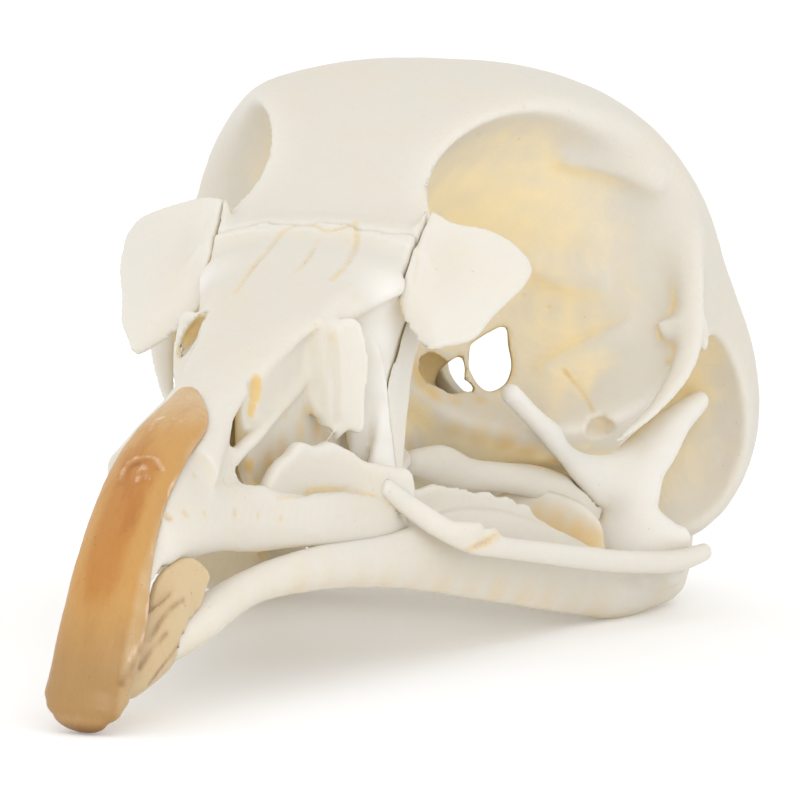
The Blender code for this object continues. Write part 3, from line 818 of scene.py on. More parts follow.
def bone_material():
    """Dry bone with painted light and shade: pale where it is free and open, brighter and warmer in hollows
    as painted bounce light and shade, with residue, pores and grain.
    """
    found = bpy.data.materials.get("dry_bone")
    if found:
        return found
    look = bpy.context.scene.bone_finish
    material = bpy.data.materials.new("dry_bone")
    tree = Tree(material)
    hollow, tight, stain_and_shade, open_space = [tree.mark(name) for name in ("hollow", "tight", "stain_and_shade", "open")]
    blotch = tree.speckle(0.16, 3.0, 0.55)
    cloud = tree.speckle(0.55, 4.0, 0.6)
    grain = tree.speckle(3.4, 4.0, 0.65, (1.0, 0.35, 1.0))
    pores = tree.cells(2.6)
    # Painted shade: places that see little of their surroundings count as shut
    shut = 1.0 - open_space.between(0.12, 0.58)
    # Painted light: free rods and thin edges, and the pale marks, turn towards the lighter thin-bone colour
    free = (1.0 - hollow.between(0.05, 0.17)) * (1.0 - shut) * 0.3
    free = free.most(tree.mark("pale"))
    inner = tree.mark("inner")
    # Random greasy blotches, and painted warm shade where the bone is shut in
    colour = tree.mix(((blotch * 0.5 + cloud * 0.5).between(0.40, 0.72) * 0.5 + shut * 0.5).least(1.0),
                      tuple(look.light), tuple(look.grease_and_shade))
    colour = tree.mix(free, colour, tuple(look.edge))
    # Painted bounce light and shade: hollows, creases, shut-in places and faces turned in or down take the
    # brighter, warmer hollow colour, partly also for residue
    depth = ((hollow - 0.2) * 0.9 + (tight - 0.15) * 0.7 + shut * 1.0 + inner * 0.75 - 0.2).between(0.0, 1.0)
    colour = tree.mix((depth * (0.95 + cloud * 0.1) * (1.0 - free * 0.9)).least(1.0), colour,
                      tuple(look.hollow))
    # Residue on sutures and slits, and painted warm shade in deep hollows and under the jaw
    tint_share = (stain_and_shade * (0.55 + cloud * 0.9)).between(0.12, 0.95)
    colour = tree.mix(tint_share * 0.85, colour, tuple(look.stain_and_shade))
    pin = (1.0 - pores.between(0.03, 0.11)) * cloud.between(0.5, 0.62)
    colour = tree.tint(pin * 0.35, colour, (0.62, 0.48, 0.30))
    colour = tree.tint(grain.between(0.5, 0.85) * 0.10, colour, (0.82, 0.74, 0.60))
    roughness = grain * 0.18 + (look.roughness - 0.09) + tint_share * -0.12
    relief = grain * 0.5 + cloud * 0.6 + pin * -0.9
    tree.finish(Base_Color=colour, Roughness=roughness, Metallic=0.0,
                Normal=tree.bump(relief, 0.35, 0.00006), Specular_IOR_Level=0.35)
    tree.finish(Subsurface_Weight=0.18, Subsurface_Scale=0.0012, Subsurface_Radius=(1.0, 0.75, 0.5))
    return material


def horn_material():
    """Dry horn: amber with a darker band, pale edges, flakes, specks and fibres."""
    found = bpy.data.materials.get("dry_horn")
    if found:
        return found
    look = bpy.context.scene.horn_finish
    material = bpy.data.materials.new("dry_horn")
    tree = Tree(material)
    band, edge, flake, rim = tree.mark("band"), tree.mark("edge"), tree.mark("flake"), tree.mark("rim")
    fibre = tree.speckle(1.7, 5.0, 0.6, (1.0, 0.25, 0.25))
    cloud = tree.speckle(0.7, 4.0, 0.6)
    fine = tree.speckle(6.0, 3.0, 0.6, (1.0, 0.4, 0.4))
    colour = tree.mix((band * 1.1 + fibre * 0.9 - 0.45).between(0.1, 0.9), tuple(look.amber),
                      tuple(look.deep))
    colour = tree.tint(fibre.between(0.45, 0.72) * 0.45, colour, (0.78, 0.60, 0.40))
    colour = tree.mix((tree.mark("low") * (0.7 + fibre * 0.6)).least(1.0), colour, tuple(look.worn))
    colour = tree.mix((edge + (cloud - 0.5) * 0.5).between(0.15, 0.85), colour, tuple(look.pale))
    colour = tree.mix((flake * (0.2 + fine * 1.6)).between(0.2, 1.0) * 0.75, colour, (0.74, 0.57, 0.45))
    specks = (1.0 - tree.cells(3.5).between(0.05, 0.13)) * cloud.between(0.5, 0.6)
    colour = tree.tint(specks * 0.6, colour, (0.35, 0.22, 0.12))
    colour = tree.tint(fine.between(0.5, 0.8) * 0.18, colour, (0.80, 0.66, 0.45))
    colour = tree.tint((rim * (0.6 + fine)).least(1.0) * 0.8, colour, (0.42, 0.26, 0.14))
    roughness = fine * 0.22 + (look.roughness - 0.1) + flake * 0.25
    relief = fibre * 0.5 + fine * 0.35 + flake * fine * 0.8
    tree.finish(Base_Color=colour, Roughness=roughness, Metallic=0.0,
                Normal=tree.bump(relief, 0.7, 0.0001), Specular_IOR_Level=0.4)
    tree.finish(Subsurface_Weight=0.12, Subsurface_Scale=0.001, Subsurface_Radius=(1.0, 0.5, 0.2),
                Coat_Weight=0.06, Coat_Roughness=0.4)
    return material


def floor_material(look):
    """The pale floor, which gives off a little light."""
    material = bpy.data.materials.new("pale_floor")
    tree = Tree(material)
    grain = tree.speckle(0.05, 3.0, 0.5)
    colour = tree.mix(grain.between(0.35, 0.65) * 0.04, tuple(look.floor_colour), (0.85, 0.85, 0.85))
    tree.finish(Base_Color=colour, Roughness=0.6 + grain * 0.1, Specular_IOR_Level=0.2)
    tree.finish(Emission_Color=(1.0, 1.0, 1.0), Emission_Strength=look.glow)
    return material


# Rows of y, top z, bottom z and half width, from the back of each form to its front or the other way

ROOF = (
    (23.6, 15.0, 13.0, 4.2),
    (21.5, 14.2, 12.4, 3.7),
    (20.0, 13.55, 12.0, 3.15),
    (18.0, 12.75, 11.5, 2.5),
    (16.0, 12.0, 10.9, 1.9),
    (13.3, 11.0, 9.9, 1.35),
    (11.0, 10.15, 9.0, 1.3),
    (9.0, 9.4, 8.0, 1.6),
    (7.4, 8.7, 7.0, 1.9),
)
FRONT = (
    (9.9, 9.5, 5.2, 1.85),
    (8.6, 9.1, 5.1, 1.85),
    (5.7, 7.8, 5.1, 1.6),
    (4.0, 6.5, 4.8, 1.3),
    (2.9, 4.9, 3.7, 1.05),
    (2.1, 3.2, 2.4, 0.9),
    (1.7, 2.0, 1.7, 0.6),
)
CASE = (
    (HINGE_Y - 0.4, HINGE_Z - 0.12, 13.0, 4.2),
    (24.6, 15.7, 12.9, 4.6),
    (26.0, 16.7, 12.6, 5.1),
    (29.0, 18.7, 10.5, 7.9),
    (32.5, 20.25, 8.0, 10.0),
    (36.0, 20.85, 5.4, 10.4),
    (40.4, 20.6, 4.2, 10.5),
    (44.8, 18.8, 3.6, 10.0),
    (48.4, 15.6, 4.0, 8.9),
    (50.8, 11.9, 5.3, 6.5),
    (51.8, 9.9, 7.0, 3.8),
    (52.0, 8.9, 8.1, 1.4),
)
CHEEK = (
    (1.1, 4.6, 5.5, 0.4, 0.6),
    (1.6, 7.5, 6.0, 0.45, 0.9),
    (2.2, 10.5, 5.95, 0.45, 1.1),
    (3.0, 13.5, 5.75, 0.42, 1.0),
    (3.5, 16.5, 5.4, 0.4, 1.0),
    (3.9, 19.5, 4.95, 0.36, 0.85),
    (4.1, 21.7, 4.5, 0.28, 0.5),
    (4.3, 23.6, 4.1, 0.15, 0.18),
)
NASAL = (
    (300, 338), (331, 303), (366, 283), (425, 268), (427, 300), (422, 335), (414, 352), (409, 375),
    (406, 402),
    (403, 430), (401, 455), (398, 482), (366, 482), (370, 462), (374, 440), (375, 418), (376, 383),
    (373, 357),
    (366, 340), (361, 329), (346, 323), (330, 322), (318, 330),
)
NOSTRIL = (
    (266, 378), (274, 366), (286, 355), (299, 342), (314, 330), (329, 322), (345, 323), (357, 329),
    (370, 340),
    (379, 357), (382, 383), (381, 418), (379, 440), (376, 460), (376, 488), (340, 491), (300, 493),
    (272, 486),
    (265, 475), (262, 460), (261, 440), (262, 420), (263, 397),
)
LACRIMAL = (
    (-0.5, 0.7), (0.45, 0.0), (1.25, -0.1), (2.15, -0.4), (2.85, -1.0), (3.12, -1.6), (2.8, -2.3),
    (2.05, -3.1),
    (1.35, -3.8), (0.45, -4.8), (-0.5, -5.05), (-1.85, -5.15), (-1.9, -3.8), (-1.75, -2.4), (-1.1, -0.6),
)
RIGHT_LACRIMAL = (
    (-0.5, 0.7), (0.6, 0.75), (2.1, 0.5), (3.5, 0.2), (4.45, -0.1), (4.65, -0.7), (4.3, -1.4), (3.85, -2.1),
    (3.1, -2.9), (2.2, -3.8), (1.5, -4.7), (0.65, -5.35), (-0.1, -5.95), (-0.75, -6.05), (-1.15, -5.6),
    (-1.6, -4.8), (-1.9, -3.8), (-1.75, -2.4), (-1.1, -0.6),
)
WINDOWS = (
    ((436, 392), (436, 377), (446, 364), (459, 356), (459, 393)),
    ((469, 345), (484, 335), (505, 327), (508, 345), (511, 368), (505, 384), (488, 392), (469, 372)),
    ((462, 391), (462, 381), (469, 382), (474, 393)),
)


CAVITY = (
    (38.5, 15.0, 8.6, 2.6),
    (39.6, 17.6, 6.9, 5.4),
    (41.5, 18.6, 5.7, 7.8),
    (43.6, 17.9, 5.4, 8.6),
    (46.0, 16.1, 5.4, 8.2),
    (48.2, 13.6, 5.9, 6.6),
    (50.0, 10.9, 7.0, 3.4),
)


def upper_skull(clay, marks=True):
    """Everything above the jaw except the palate: braincase, roof, bill and lacrimals, in one piece."""
    view = PhotoView(bpy.context.scene.studio_setup)
    clay.shell(CASE, waist=0.44, upper_power=2.5, lower_power=2.2)
    clay.shell(ROOF, waist=0.35, upper_power=2.0, lower_power=2.4, blend=0.8)
    clay.shell(FRONT, waist=0.25, upper_power=1.9, lower_power=3.0, blend=0.6)
    for side in (LEFT, RIGHT):
        clay.lump((7.7 * side, 44.0, 7.6), (3.7, 4.2, 5.3), blend=1.6)
        clay.lump((10.5 * side, 29.8, 12.2), (10.4, 7.3, 8.0), blend=0.3, carve=True)
        clay.lump((10.9 * side, 32.0, 14.0), (8.4, 6.4, 5.9), blend=2.0, carve=True)
        clay.lump((5.1 * side, 33.0, 11.6), (4.9, 4.7, 4.4), blend=1.3, carve=True)
        clay.lump((9.9 * side, 40.4, 6.0), (3.3, 3.1, 4.7), blend=0.3, carve=True)
    septum = ((23.9, 13.2), (27.5, 17.0), (33.5, 18.4), (38.6, 13.0), (38.6, 6.4), (31.0, 6.7), (23.0, 7.4))
    clay.plate(septum, (0.0, 0.0, 0.0), (0.0, 1.0, 0.0), (0.0, 0.0, 1.0), 0.6, edge=0.6, blend=0.9)
    clay.bar(((0.0, 43.0, 5.2, 3.0, 1.3), (0.0, 38.0, 6.0, 1.5, 1.0), (0.0, 31.0, 6.7, 0.8, 0.8),
              (0.0, 21.0, 7.6, 0.45, 0.55)), blend=0.7)
    for side in (LEFT, RIGHT):
        orbit_wall(clay, view, side)
        clay.bar(mirrored(CHEEK, side), steps=56, blend=0.5)
        view.sheet(clay, NASAL, (3.3, 21.7, 9.5), 0.55, along=(0.26, 0.966, 0.0), rise=(-0.10, 0.2, 1.0),
                   side=side, blend=0.5, edge=0.42)
        clay.plate(LACRIMAL if side == LEFT else RIGHT_LACRIMAL, (4.3 * side, 24.3, 15.2),
                   (0.86 * side, 0.51, 0.0), (-0.30 * side, 0.50, 0.81),
                   0.55, edge=0.3, bend=(-0.03 * side, 0.0), blend=0.5)
        view.sheet(clay, NOSTRIL, (2.6, 14.6, 9.0), 10.0, side=side, blend=0.25, carve=True)
    horn_rings(clay, -0.04, carve=True)
    clay.shell(CAVITY, waist=0.45, blend=0.5, carve=True)
    clay.lump((0.0, 51.4, 8.5), (3.2, 4.2, 1.9), blend=0.5, carve=True)
    clay.lump((0.0, 49.9, 5.4), (1.1, 1.0, 0.9), blend=0.3)
    for side in (LEFT, RIGHT):
        hollow = view.at(425, 378, 35.2)
        clay.lump((hollow[0] * side, hollow[1], hollow[2]), (1.0, 1.8, 1.0), blend=0.15, carve=True)
        for window in WINDOWS:
            view.sheet(clay, window, view.at(470, 362, 38.4), 8.0, side=side, blend=0.1, carve=True)
        inside_bill(clay, view, side)
    return surface_marks(clay, view) if marks else []


def orbit_wall(clay, view, side):
    """The ridges of the back of the eye socket and the spines behind it."""
    clay.bar(mirrored(((9.6, 38.9, 14.2, 0.3, 0.5), (10.2, 37.6, 12.0, 0.28, 0.5),
                       (10.3, 36.5, 9.9, 0.26, 0.46),
                       (9.6, 35.1, 8.3, 0.18, 0.3), (8.6, 33.3, 7.1, 0.09, 0.12)), side), blend=1.0,
             up=(side, 0.0, 0.3))
    for rows in (
        ((702, 396, 38.0, 0.2, 0.2), (676, 412, 36.8, 0.12, 0.14), (650, 427, 35.5, 0.1, 0.11),
         (630, 440, 34.2, 0.07, 0.07)),
        ((722, 396, 40.2, 0.2, 0.2), (716, 408, 39.8, 0.14, 0.16), (707, 424, 39.4, 0.13, 0.15),
         (695, 434, 39.2, 0.1, 0.1)),
    ):
        clay.bar(mirrored(view.rows(rows), side), blend=0.3)
    view.sheet(clay, ((655, 322), (680, 318), (704, 322), (704, 350), (694, 343), (684, 345), (676, 340),
                      (664, 338)),
               (9.6, 37.4, 11.8), 0.5, side=side, blend=0.5)


def inside_bill(clay, view, side):
    """The thin plates and struts that show inside the nostril."""
    clay.plate(((9.6, 6.4), (12.5, 9.8), (16.0, 11.4), (20.0, 12.6), (23.0, 13.2), (23.0, 7.4), (16.0, 6.6)),
               (0.0, 0.0, 0.0), (0.0, 1.0, 0.0), (0.0, 0.0, 1.0), 0.45, edge=0.4, blend=0.4)
    for pixels, place, thickness, along, bow in (
        (((283, 366), (300, 348), (322, 324), (345, 318), (353, 350), (351, 395), (346, 432), (338, 430),
          (333, 436),
          (328, 441), (326, 428), (318, 426), (313, 415), (305, 400), (302, 385), (293, 372)),
         (1.3, 16.6, 9.6), 0.3, (0.55, 0.83, 0.0), 0.10),
        (((240, 404), (262, 362), (300, 336), (332, 318), (338, 400), (352, 474), (345, 494), (262, 494),
          (246, 482),
          (240, 440)), (1.25, 14.5, 9.2), 0.5, (0.08, 0.99, 0.0), 0.0),
        (((347, 326), (362, 330), (378, 346), (386, 378), (386, 438), (378, 460), (366, 466), (352, 456),
          (346, 430),
          (343, 390)), (2.6, 20.4, 9.2), 0.3, (0.75, 0.66, 0.0), -0.08),
        (((256, 488), (262, 478), (274, 462), (287, 452), (296, 442), (303, 443), (311, 446), (320, 444),
          (328, 442),
          (338, 447), (346, 452), (352, 458), (361, 462), (368, 463), (380, 466), (388, 468), (391, 480),
          (391, 496),
          (384, 508), (360, 512), (330, 512), (300, 512), (278, 511), (262, 504)), (2.5, 14.6, 7.3), 0.5,
          (0.2, 0.98, 0.0), 0.02),
    ):
        view.sheet(clay, pixels, place, thickness, along=along, rise=(0.0, 0.0, 1.0), side=side, blend=0.2,
                   bow=bow)
    for rows in (
        ((234, 457, 10.0, 0.26, 0.26), (243, 448, 11.0, 0.24, 0.25), (255, 436, 12.2, 0.22, 0.24),
         (276, 412, 14.3, 0.21, 0.23), (292, 392, 15.9, 0.23, 0.25), (306, 374, 17.2, 0.26, 0.3)),
        ((319, 324, 17.4, 0.15, 0.15), (321, 350, 17.4, 0.17, 0.17), (325, 385, 17.5, 0.15, 0.15),
         (326, 424, 17.6, 0.09, 0.09)),
        ((337, 330, 17.8, 0.13, 0.13), (341, 372, 17.9, 0.13, 0.13), (340, 412, 17.9, 0.09, 0.09)),
        ((306, 352, 17.0, 0.13, 0.13), (309, 386, 17.1, 0.13, 0.13), (316, 414, 17.3, 0.08, 0.08)),
        ((321, 448, 15.9, 0.08, 0.08), (329, 438, 17.0, 0.07, 0.07), (336, 428, 17.9, 0.07, 0.07)),
    ):
        clay.bar(mirrored(view.rows(rows), side), steps=14, blend=0.25)
    if side == LEFT:
        for px, py, wide, high in ((255, 390, 0.27, 0.5), (251, 409, 0.19, 0.5)):
            slot = view.seen(clay, px, py)
            if slot is not None:
                clay.lump(slot, (wide, 0.45, high), blend=0.08, carve=True)


def surface_marks(clay, view):
    """Cuts slits, cracks, pits and pinholes where the photograph shows them and lists what they stain,
    together with spots of painted warm shade in hollows.
    """
    tint_spots = []
    for pixels, wide, high in (
        (((548, 366), (580, 352), (604, 340), (626, 328)), 0.22, 0.16),
        (((566, 158), (596, 163), (626, 170), (657, 185)), 0.2, 0.08),
        (((530, 262), (560, 275), (600, 283)), 0.3, 0.12),
    ):
        view.ridge(clay, pixels, wide, high)
    for pixels, wide, deep, reach, strength in (
        (((296, 225), (282, 232), (272, 244), (252, 268), (236, 292)), 0.09, 0.13, 0.17, 0.6),
        (((318, 240), (308, 258), (296, 272)), 0.08, 0.12, 0.15, 0.5),
        (((356, 222), (356, 244), (346, 264), (332, 280)), 0.09, 0.13, 0.17, 0.6),
        (((296, 225), (312, 225), (328, 230), (340, 228), (356, 222)), 0.07, 0.1, 0.2, 0.6),
        (((205, 315), (193, 330), (185, 345), (178, 360)), 0.26, 0.7, 0.3, 0.4),
        (((564, 370), (574, 382), (583, 394), (593, 411)), 0.08, 0.14, 0.12, 0.8),
        (((278, 498), (300, 495), (336, 491), (360, 492), (376, 496)), 0.1, 0.16, 0.13, 0.6),
        (((376, 496), (398, 512), (416, 528), (430, 541)), 0.07, 0.1, 0.13, 0.4),
        (((426, 182), (422, 200), (420, 225), (418, 252), (415, 282)), 0.06, 0.08, 0.14, 0.35),
    ):
        tint_spots += [(spot, reach, strength) for spot in view.groove(clay, pixels, wide, deep)]
    for px, py, size in ((168, 516, 0.14), (186, 513, 0.11), (205, 513, 0.1), (236, 513, 0.11),
                         (259, 516, 0.1),
                         (281, 519, 0.1), (194, 474, 0.09), (224, 482, 0.09), (478, 134, 0.08),
                         (524, 106, 0.09),
                         (519, 139, 0.08), (424, 116, 0.07), (548, 307, 0.08), (524, 295, 0.08),
                         (667, 361, 0.13), (607, 432, 0.12), (600, 430, 0.5), (330, 439, 0.12)):
        spot = view.seen(clay, px, py)
        if spot is not None:
            clay.lump(spot, (size, size * 1.4, size), blend=0.04, carve=True)
            tint_spots.append((spot, size * 1.6, 0.6))
    # Spots of colour: residue, as on the top of the bill and in the nostril slot, and painted warm shade in
    # the deep hollows of the nostril, the eye socket, the mouth and the ear
    for px, py, reach, strength in (
        (275, 215, 1.2, 0.2), (300, 235, 0.9, 0.25), (345, 236, 0.9, 0.25), (425, 212, 0.7, 0.3),
        (428, 185, 0.8, 0.2),
        (262, 255, 0.9, 0.22), (330, 262, 0.8, 0.2), (256, 381, 0.24, 1.3), (255, 389, 0.26, 1.4),
        (254, 397, 0.24, 1.4), (252, 405, 0.22, 1.3), (250, 413, 0.18, 1.2),
        (250, 466, 0.3, 0.9), (268, 462, 0.6, 0.6), (318, 428, 0.6, 0.6), (300, 432, 0.6, 0.6),
        (282, 446, 0.6, 0.55), (325, 438, 0.4, 0.6), (304, 415, 0.5, 0.5), (410, 466, 0.5, 0.8),
        (410, 448, 0.5, 0.7), (286, 416, 0.2, 0.6),
        (330, 338, 0.4, 0.4), (312, 350, 0.4, 0.35), (420, 377, 0.9, 0.7), (432, 392, 0.6, 0.7),
        (464, 372, 0.4, 0.6),
        (455, 400, 0.4, 0.6), (480, 400, 0.4, 0.6), (250, 560, 0.9, 0.3), (600, 428, 0.6, 0.5),
        (690, 395, 0.5, 0.5),
        (430, 545, 0.4, 0.4), (700, 480, 1.6, 0.15), (560, 210, 1.6, 0.1), (455, 430, 0.6, 0.55),
        (480, 436, 0.7, 0.65), (505, 442, 0.7, 0.7), (530, 450, 0.7, 0.7), (552, 460, 0.6, 0.6),
    ):
        spot = view.seen(clay, px, py)
        if spot is not None:
            tint_spots.append((spot, reach, strength))
    return tint_spots


def suture_side(side, grow):
    """A region that is negative in the lacrimal on one side."""
    def region(x, y, z):
        line = np.interp(z.ravel(), (9.8, 11.4, 14.2, 15.2, 16.8),
                         (3.3, 3.42, 3.65, 3.8, 3.95)).reshape(z.shape)
        front = 21.2 + np.clip(z - 11.0, 0.0, 4.0) * 0.32
        return np.maximum(np.maximum(line - x * side, y - 27.0), front - y) - grow
    return region


def beside_lacrimal(side):
    """A region that is negative outside the lacrimal on one side."""
    region = suture_side(side, SUTURE / 2)
    return lambda x, y, z: -region(x, y, z)


def bill_side(x, y, z):
    """Negative in the bill and positive in the cranium, which reaches forward along the midline."""
    behind = y - HINGE_Y - 0.12 * np.sin(x * 2.3) - 0.06 * np.sin(x * 6.1 + 1.0)
    behind = np.where((np.abs(x) > 2.5) & (z < 12.3), behind - 1.2, behind)
    in_septum = (np.abs(x) < 1.0) & (z < 10.5) & (y > 23.05)
    return np.where(in_septum, np.abs(behind) + 0.5, behind + 0 * z)


class SKULL_OT_upper(bpy.types.Operator):
    """Builds the cranium, the upper beak and the two lacrimals"""

    bl_idname = "skull.upper"
    bl_label = "Cranium, beak and lacrimals"

    def execute(self, context):
        view = PhotoView(context.scene.studio_setup)
        step = mesh_step(context)
        rear = Clay((-12.2, 20.6, 1.6), (12.2, 52.9, 21.6), step * 1.1)
        front = Clay((-9.0, 0.6, 1.2), (9.0, 27.6, 17.6), step * 0.85)
        tint_spots = upper_skull(rear) + upper_skull(front)
        rear.clip(lambda x, y, z: SUTURE / 2 - bill_side(x, y, z))
        for side in (LEFT, RIGHT):
            rear.clip(beside_lacrimal(side))
        bone_piece("cranium_bone", rear, ["cranium"], tint_spots)
        for side, name in ((LEFT, "left"), (RIGHT, "right")):
            lacrimal = front.copy()
            lacrimal.clip(suture_side(side, -SUTURE / 2))
            bone_piece("lacrimal_bone_" + name, lacrimal, ["lacrimal_" + name], tint_spots)
        for side in (LEFT, RIGHT):
            front.clip(beside_lacrimal(side))
        front.clip(lambda x, y, z: bill_side(x, y, z) + SUTURE / 2)
        # Painted light: a pale mark along the strut lightens it where it stands in shade
        strut = [view.at(*spot) for spot in ((394, 300, 21.0), (395, 340, 21.2), (394, 380, 21.2),
                                             (388, 420, 21.0), (386, 460, 20.6))]
        strut += [(-x, y, z) for x, y, z in strut]
        bone_piece("upper_beak_bone", front, ["upper_beak"], tint_spots,
                   extra=lambda points: {"pale": near_line(points, strut, 1.2)}, rounds=5)
        return {"FINISHED"}


def mesh_step(context):
    step = context.scene.skull_sizes.fineness / MILLIMETRE
    return step


JAW = (
    (0.4, 3.7, 2.0, 0.6, 0.55),
    (1.5, 5.2, 2.72, 0.7, 0.68),
    (2.4, 9.0, 3.78, 0.55, 0.6),
    (3.2, 13.0, 4.05, 0.5, 0.72),
    (4.2, 18.6, 3.85, 0.5, 0.9),
    (5.2, 25.0, 3.6, 0.5, 1.58),
    (6.1, 30.0, 2.8, 0.5, 1.6),
    (6.8, 35.0, 1.72, 0.7, 1.32),
    (7.3, 37.6, 1.06, 1.0, 1.06),
    (8.0, 41.0, 1.08, 0.9, 0.98),
    (8.2, 44.0, 1.2, 0.65, 0.87),
    (8.0, 46.2, 2.2, 0.5, 0.65),
    (7.8, 47.8, 3.8, 0.35, 0.45),
)


def jaw_shape(clay, view):
    """Both halves of the jaw with their ragged upper edge, joined at the tip."""
    for side in (LEFT, RIGHT):
        clay.bar(mirrored(JAW, side), steps=48)
        clay.bar(mirrored(((6.0, 39.0, 1.7, 1.2, 0.7), (9.0, 39.8, 1.8, 1.2, 0.8)), side), blend=0.6)
        clay.bar(mirrored(((7.0, 40.0, 1.8, 0.6, 0.5), (4.6, 40.8, 2.8, 0.4, 0.35)), side), blend=0.5)
        view.sheet(clay, ((400, 520), (402, 505), (405, 494), (418, 489), (433, 484), (448, 487),
                          (462, 488), (472, 492),
                          (486, 491), (497, 497), (508, 497), (516, 503), (528, 506), (533, 516), (540, 521),
                          (546, 530), (562, 537), (583, 548), (592, 560), (470, 562), (405, 545)),
                   (5.4, 28.5, 4.0), 0.42, along=(0.2, 1.0, -0.08), rise=(0.0, 0.0, 1.0), side=side,
                   blend=0.4, edge=0.28)
        for px, py, y, size in ((452, 508, 26.0, 0.34), (476, 505, 27.4, 0.38), (494, 512, 28.6, 0.36),
                                (470, 524, 27.0, 0.34), (508, 524, 29.4, 0.3), (432, 502, 25.2, 0.26)):
            spot = view.at(px, py, y)
            clay.lump((spot[0] * side, spot[1], spot[2]), (size * 0.7, size * 1.8, size * 0.7), blend=0.35)
        view.sheet(clay, ((490, 498), (512, 490), (535, 488), (560, 494), (585, 506), (600, 522),
                          (602, 556), (562, 560),
                          (520, 545)), view.at(550, 530, 36.0), 0.5, side=side, blend=0.5)
    clay.lump((0.0, 5.2, 2.3), (1.6, 2.4, 0.6), blend=0.5)


class SKULL_OT_jaw(bpy.types.Operator):
    """Builds the lower jaw"""

    bl_idname = "skull.jaw"
    bl_label = "Lower jaw"

    def execute(self, context):
        view = PhotoView(context.scene.studio_setup)
        clay = Clay((-10.6, 2.4, -0.2), (10.6, 48.8, 6.6), mesh_step(context) * 0.95)
        jaw_shape(clay, view)
        for side in (LEFT, RIGHT):
            quadrate_shape(clay, side, carve=True, grow=0.12)
        # Ochre spots near the back of the jaw, partly residue and partly painted warm shade
        ochre_stain_and_shade = [view.at(px, py, 36.0) for px, py in ((515, 515), (535, 520), (555, 528), (575, 536),
                                                      (590, 542))]
        ochre_stain_and_shade += [(-x, y, z) for x, y, z in ochre_stain_and_shade]
        tint_spots = [(spot, 0.9, 0.8) for spot in ochre_stain_and_shade]
        # Painted warm shade along the underside of each half of the jaw
        for side in (LEFT, RIGHT):
            tint_spots += [((x * side, y, z - high), 1.6, 0.42) for x, y, z, wide, high in through(JAW, 22)]
        bone_piece("lower_jaw_bone", clay, ["mandible"], tint_spots, rounds=5)
        return {"FINISHED"}


def quadrate_shape(clay, side, carve=False, grow=0.0):
    """A rod that points to the eye socket, a body that stands on the jaw and an arm up to the ear."""
    view = PhotoView(bpy.context.scene.studio_setup)
    blend = 0.05 if carve else 0.7
    parts = (
        (((511, 394, 31.4, 0.38, 0.38), (531, 415, 33.0, 0.34, 0.38), (553, 436, 35.0, 0.36, 0.5),
          (577, 457, 37.0, 0.4, 0.75), (604, 478, 38.6, 0.45, 1.1)), (0.0, 0.0, 1.0)),
        (((612, 470, 39.0, 1.0, 0.7), (627, 490, 39.2, 1.2, 0.8), (628, 512, 39.2, 1.15, 0.8),
          (634, 540, 39.2, 1.6, 0.9)), (0.0, 1.0, 0.0)),
        (((622, 486, 39.2, 0.95, 0.7), (650, 452, 40.0, 0.95, 0.75), (677, 420, 41.2, 0.6, 0.7),
          (697, 403, 42.2, 0.42, 0.6)), (0.0, 1.0, 0.0)),
        (((596, 538, 38.8, 0.4, 0.55), (640, 540, 39.2, 0.5, 0.6), (680, 540, 39.6, 0.4, 0.5)),
         (0.0, 0.0, 1.0)),
    )
    for rows, up in parts:
        clay.bar(mirrored(view.rows(rows, grow), side), steps=14, blend=blend, up=up, carve=carve)


class SKULL_OT_quadrates(bpy.types.Operator):
    """Builds the two quadrates, which carry the lower jaw"""

    bl_idname = "skull.quadrates"
    bl_label = "Quadrates"

    def execute(self, context):
        clay = Clay((3.4, 30.0, 1.6), (11.4, 44.2, 11.4), mesh_step(context) * 0.8)
        quadrate_shape(clay, LEFT)
        # The pale mark is painted light that lightens the quadrates
        bone_piece("quadrate_bone", clay, ["quadrate_left", "quadrate_right"], pale=0.85)
        return {"FINISHED"}


def cheek_bar_shape(clay, view):
    """The left cheek bar with its flattened, cracked part."""
    rows = (
        (386, 488, 19.0, 0.24, 0.34), (410, 507, 20.0, 0.26, 0.38), (440, 527, 20.9, 0.28, 0.4),
        (470, 541, 22.3, 0.3, 0.42), (500, 547, 24.3, 0.28, 0.4), (530, 551, 26.8, 0.28, 0.4),
        (579, 557, 30.4, 0.3, 0.42), (640, 562, 35.0, 0.34, 0.42), (688, 558, 38.6, 0.36, 0.4),
        (704, 552, 39.6, 0.3, 0.34),
    )
    clay.bar(view.rows(rows), steps=44, blend=0.1)
    for px, py, y, size in ((474, 527, 22.4, 0.24), (490, 532, 23.6, 0.2), (460, 528, 21.8, 0.2)):
        clay.lump(view.at(px, py, y), (size, size * 2.2, size * 0.8), blend=0.4)


class SKULL_OT_cheek_bars(bpy.types.Operator):
    """Builds the slender bars under the eyes"""

    bl_idname = "skull.cheek_bars"
    bl_label = "Cheek bars"

    def execute(self, context):
        view = PhotoView(context.scene.studio_setup)
        clay = Clay((3.0, 16.8, 1.4), (10.8, 40.4, 7.4), mesh_step(context) * 0.7)
        cheek_bar_shape(clay, view)
        crack = view.groove(clay, ((502, 531), (488, 541), (470, 549)), 0.08, 0.2)
        quadrate_shape(clay, LEFT, carve=True, grow=0.1)
        # The pale mark is painted light that lightens the cheek bars
        bone_piece("cheek_bar_bone", clay, ["cheek_bar_left", "cheek_bar_right"],
                   [(spot, 0.3, 0.6) for spot in crack], pale=0.3)
        return {"FINISHED"}


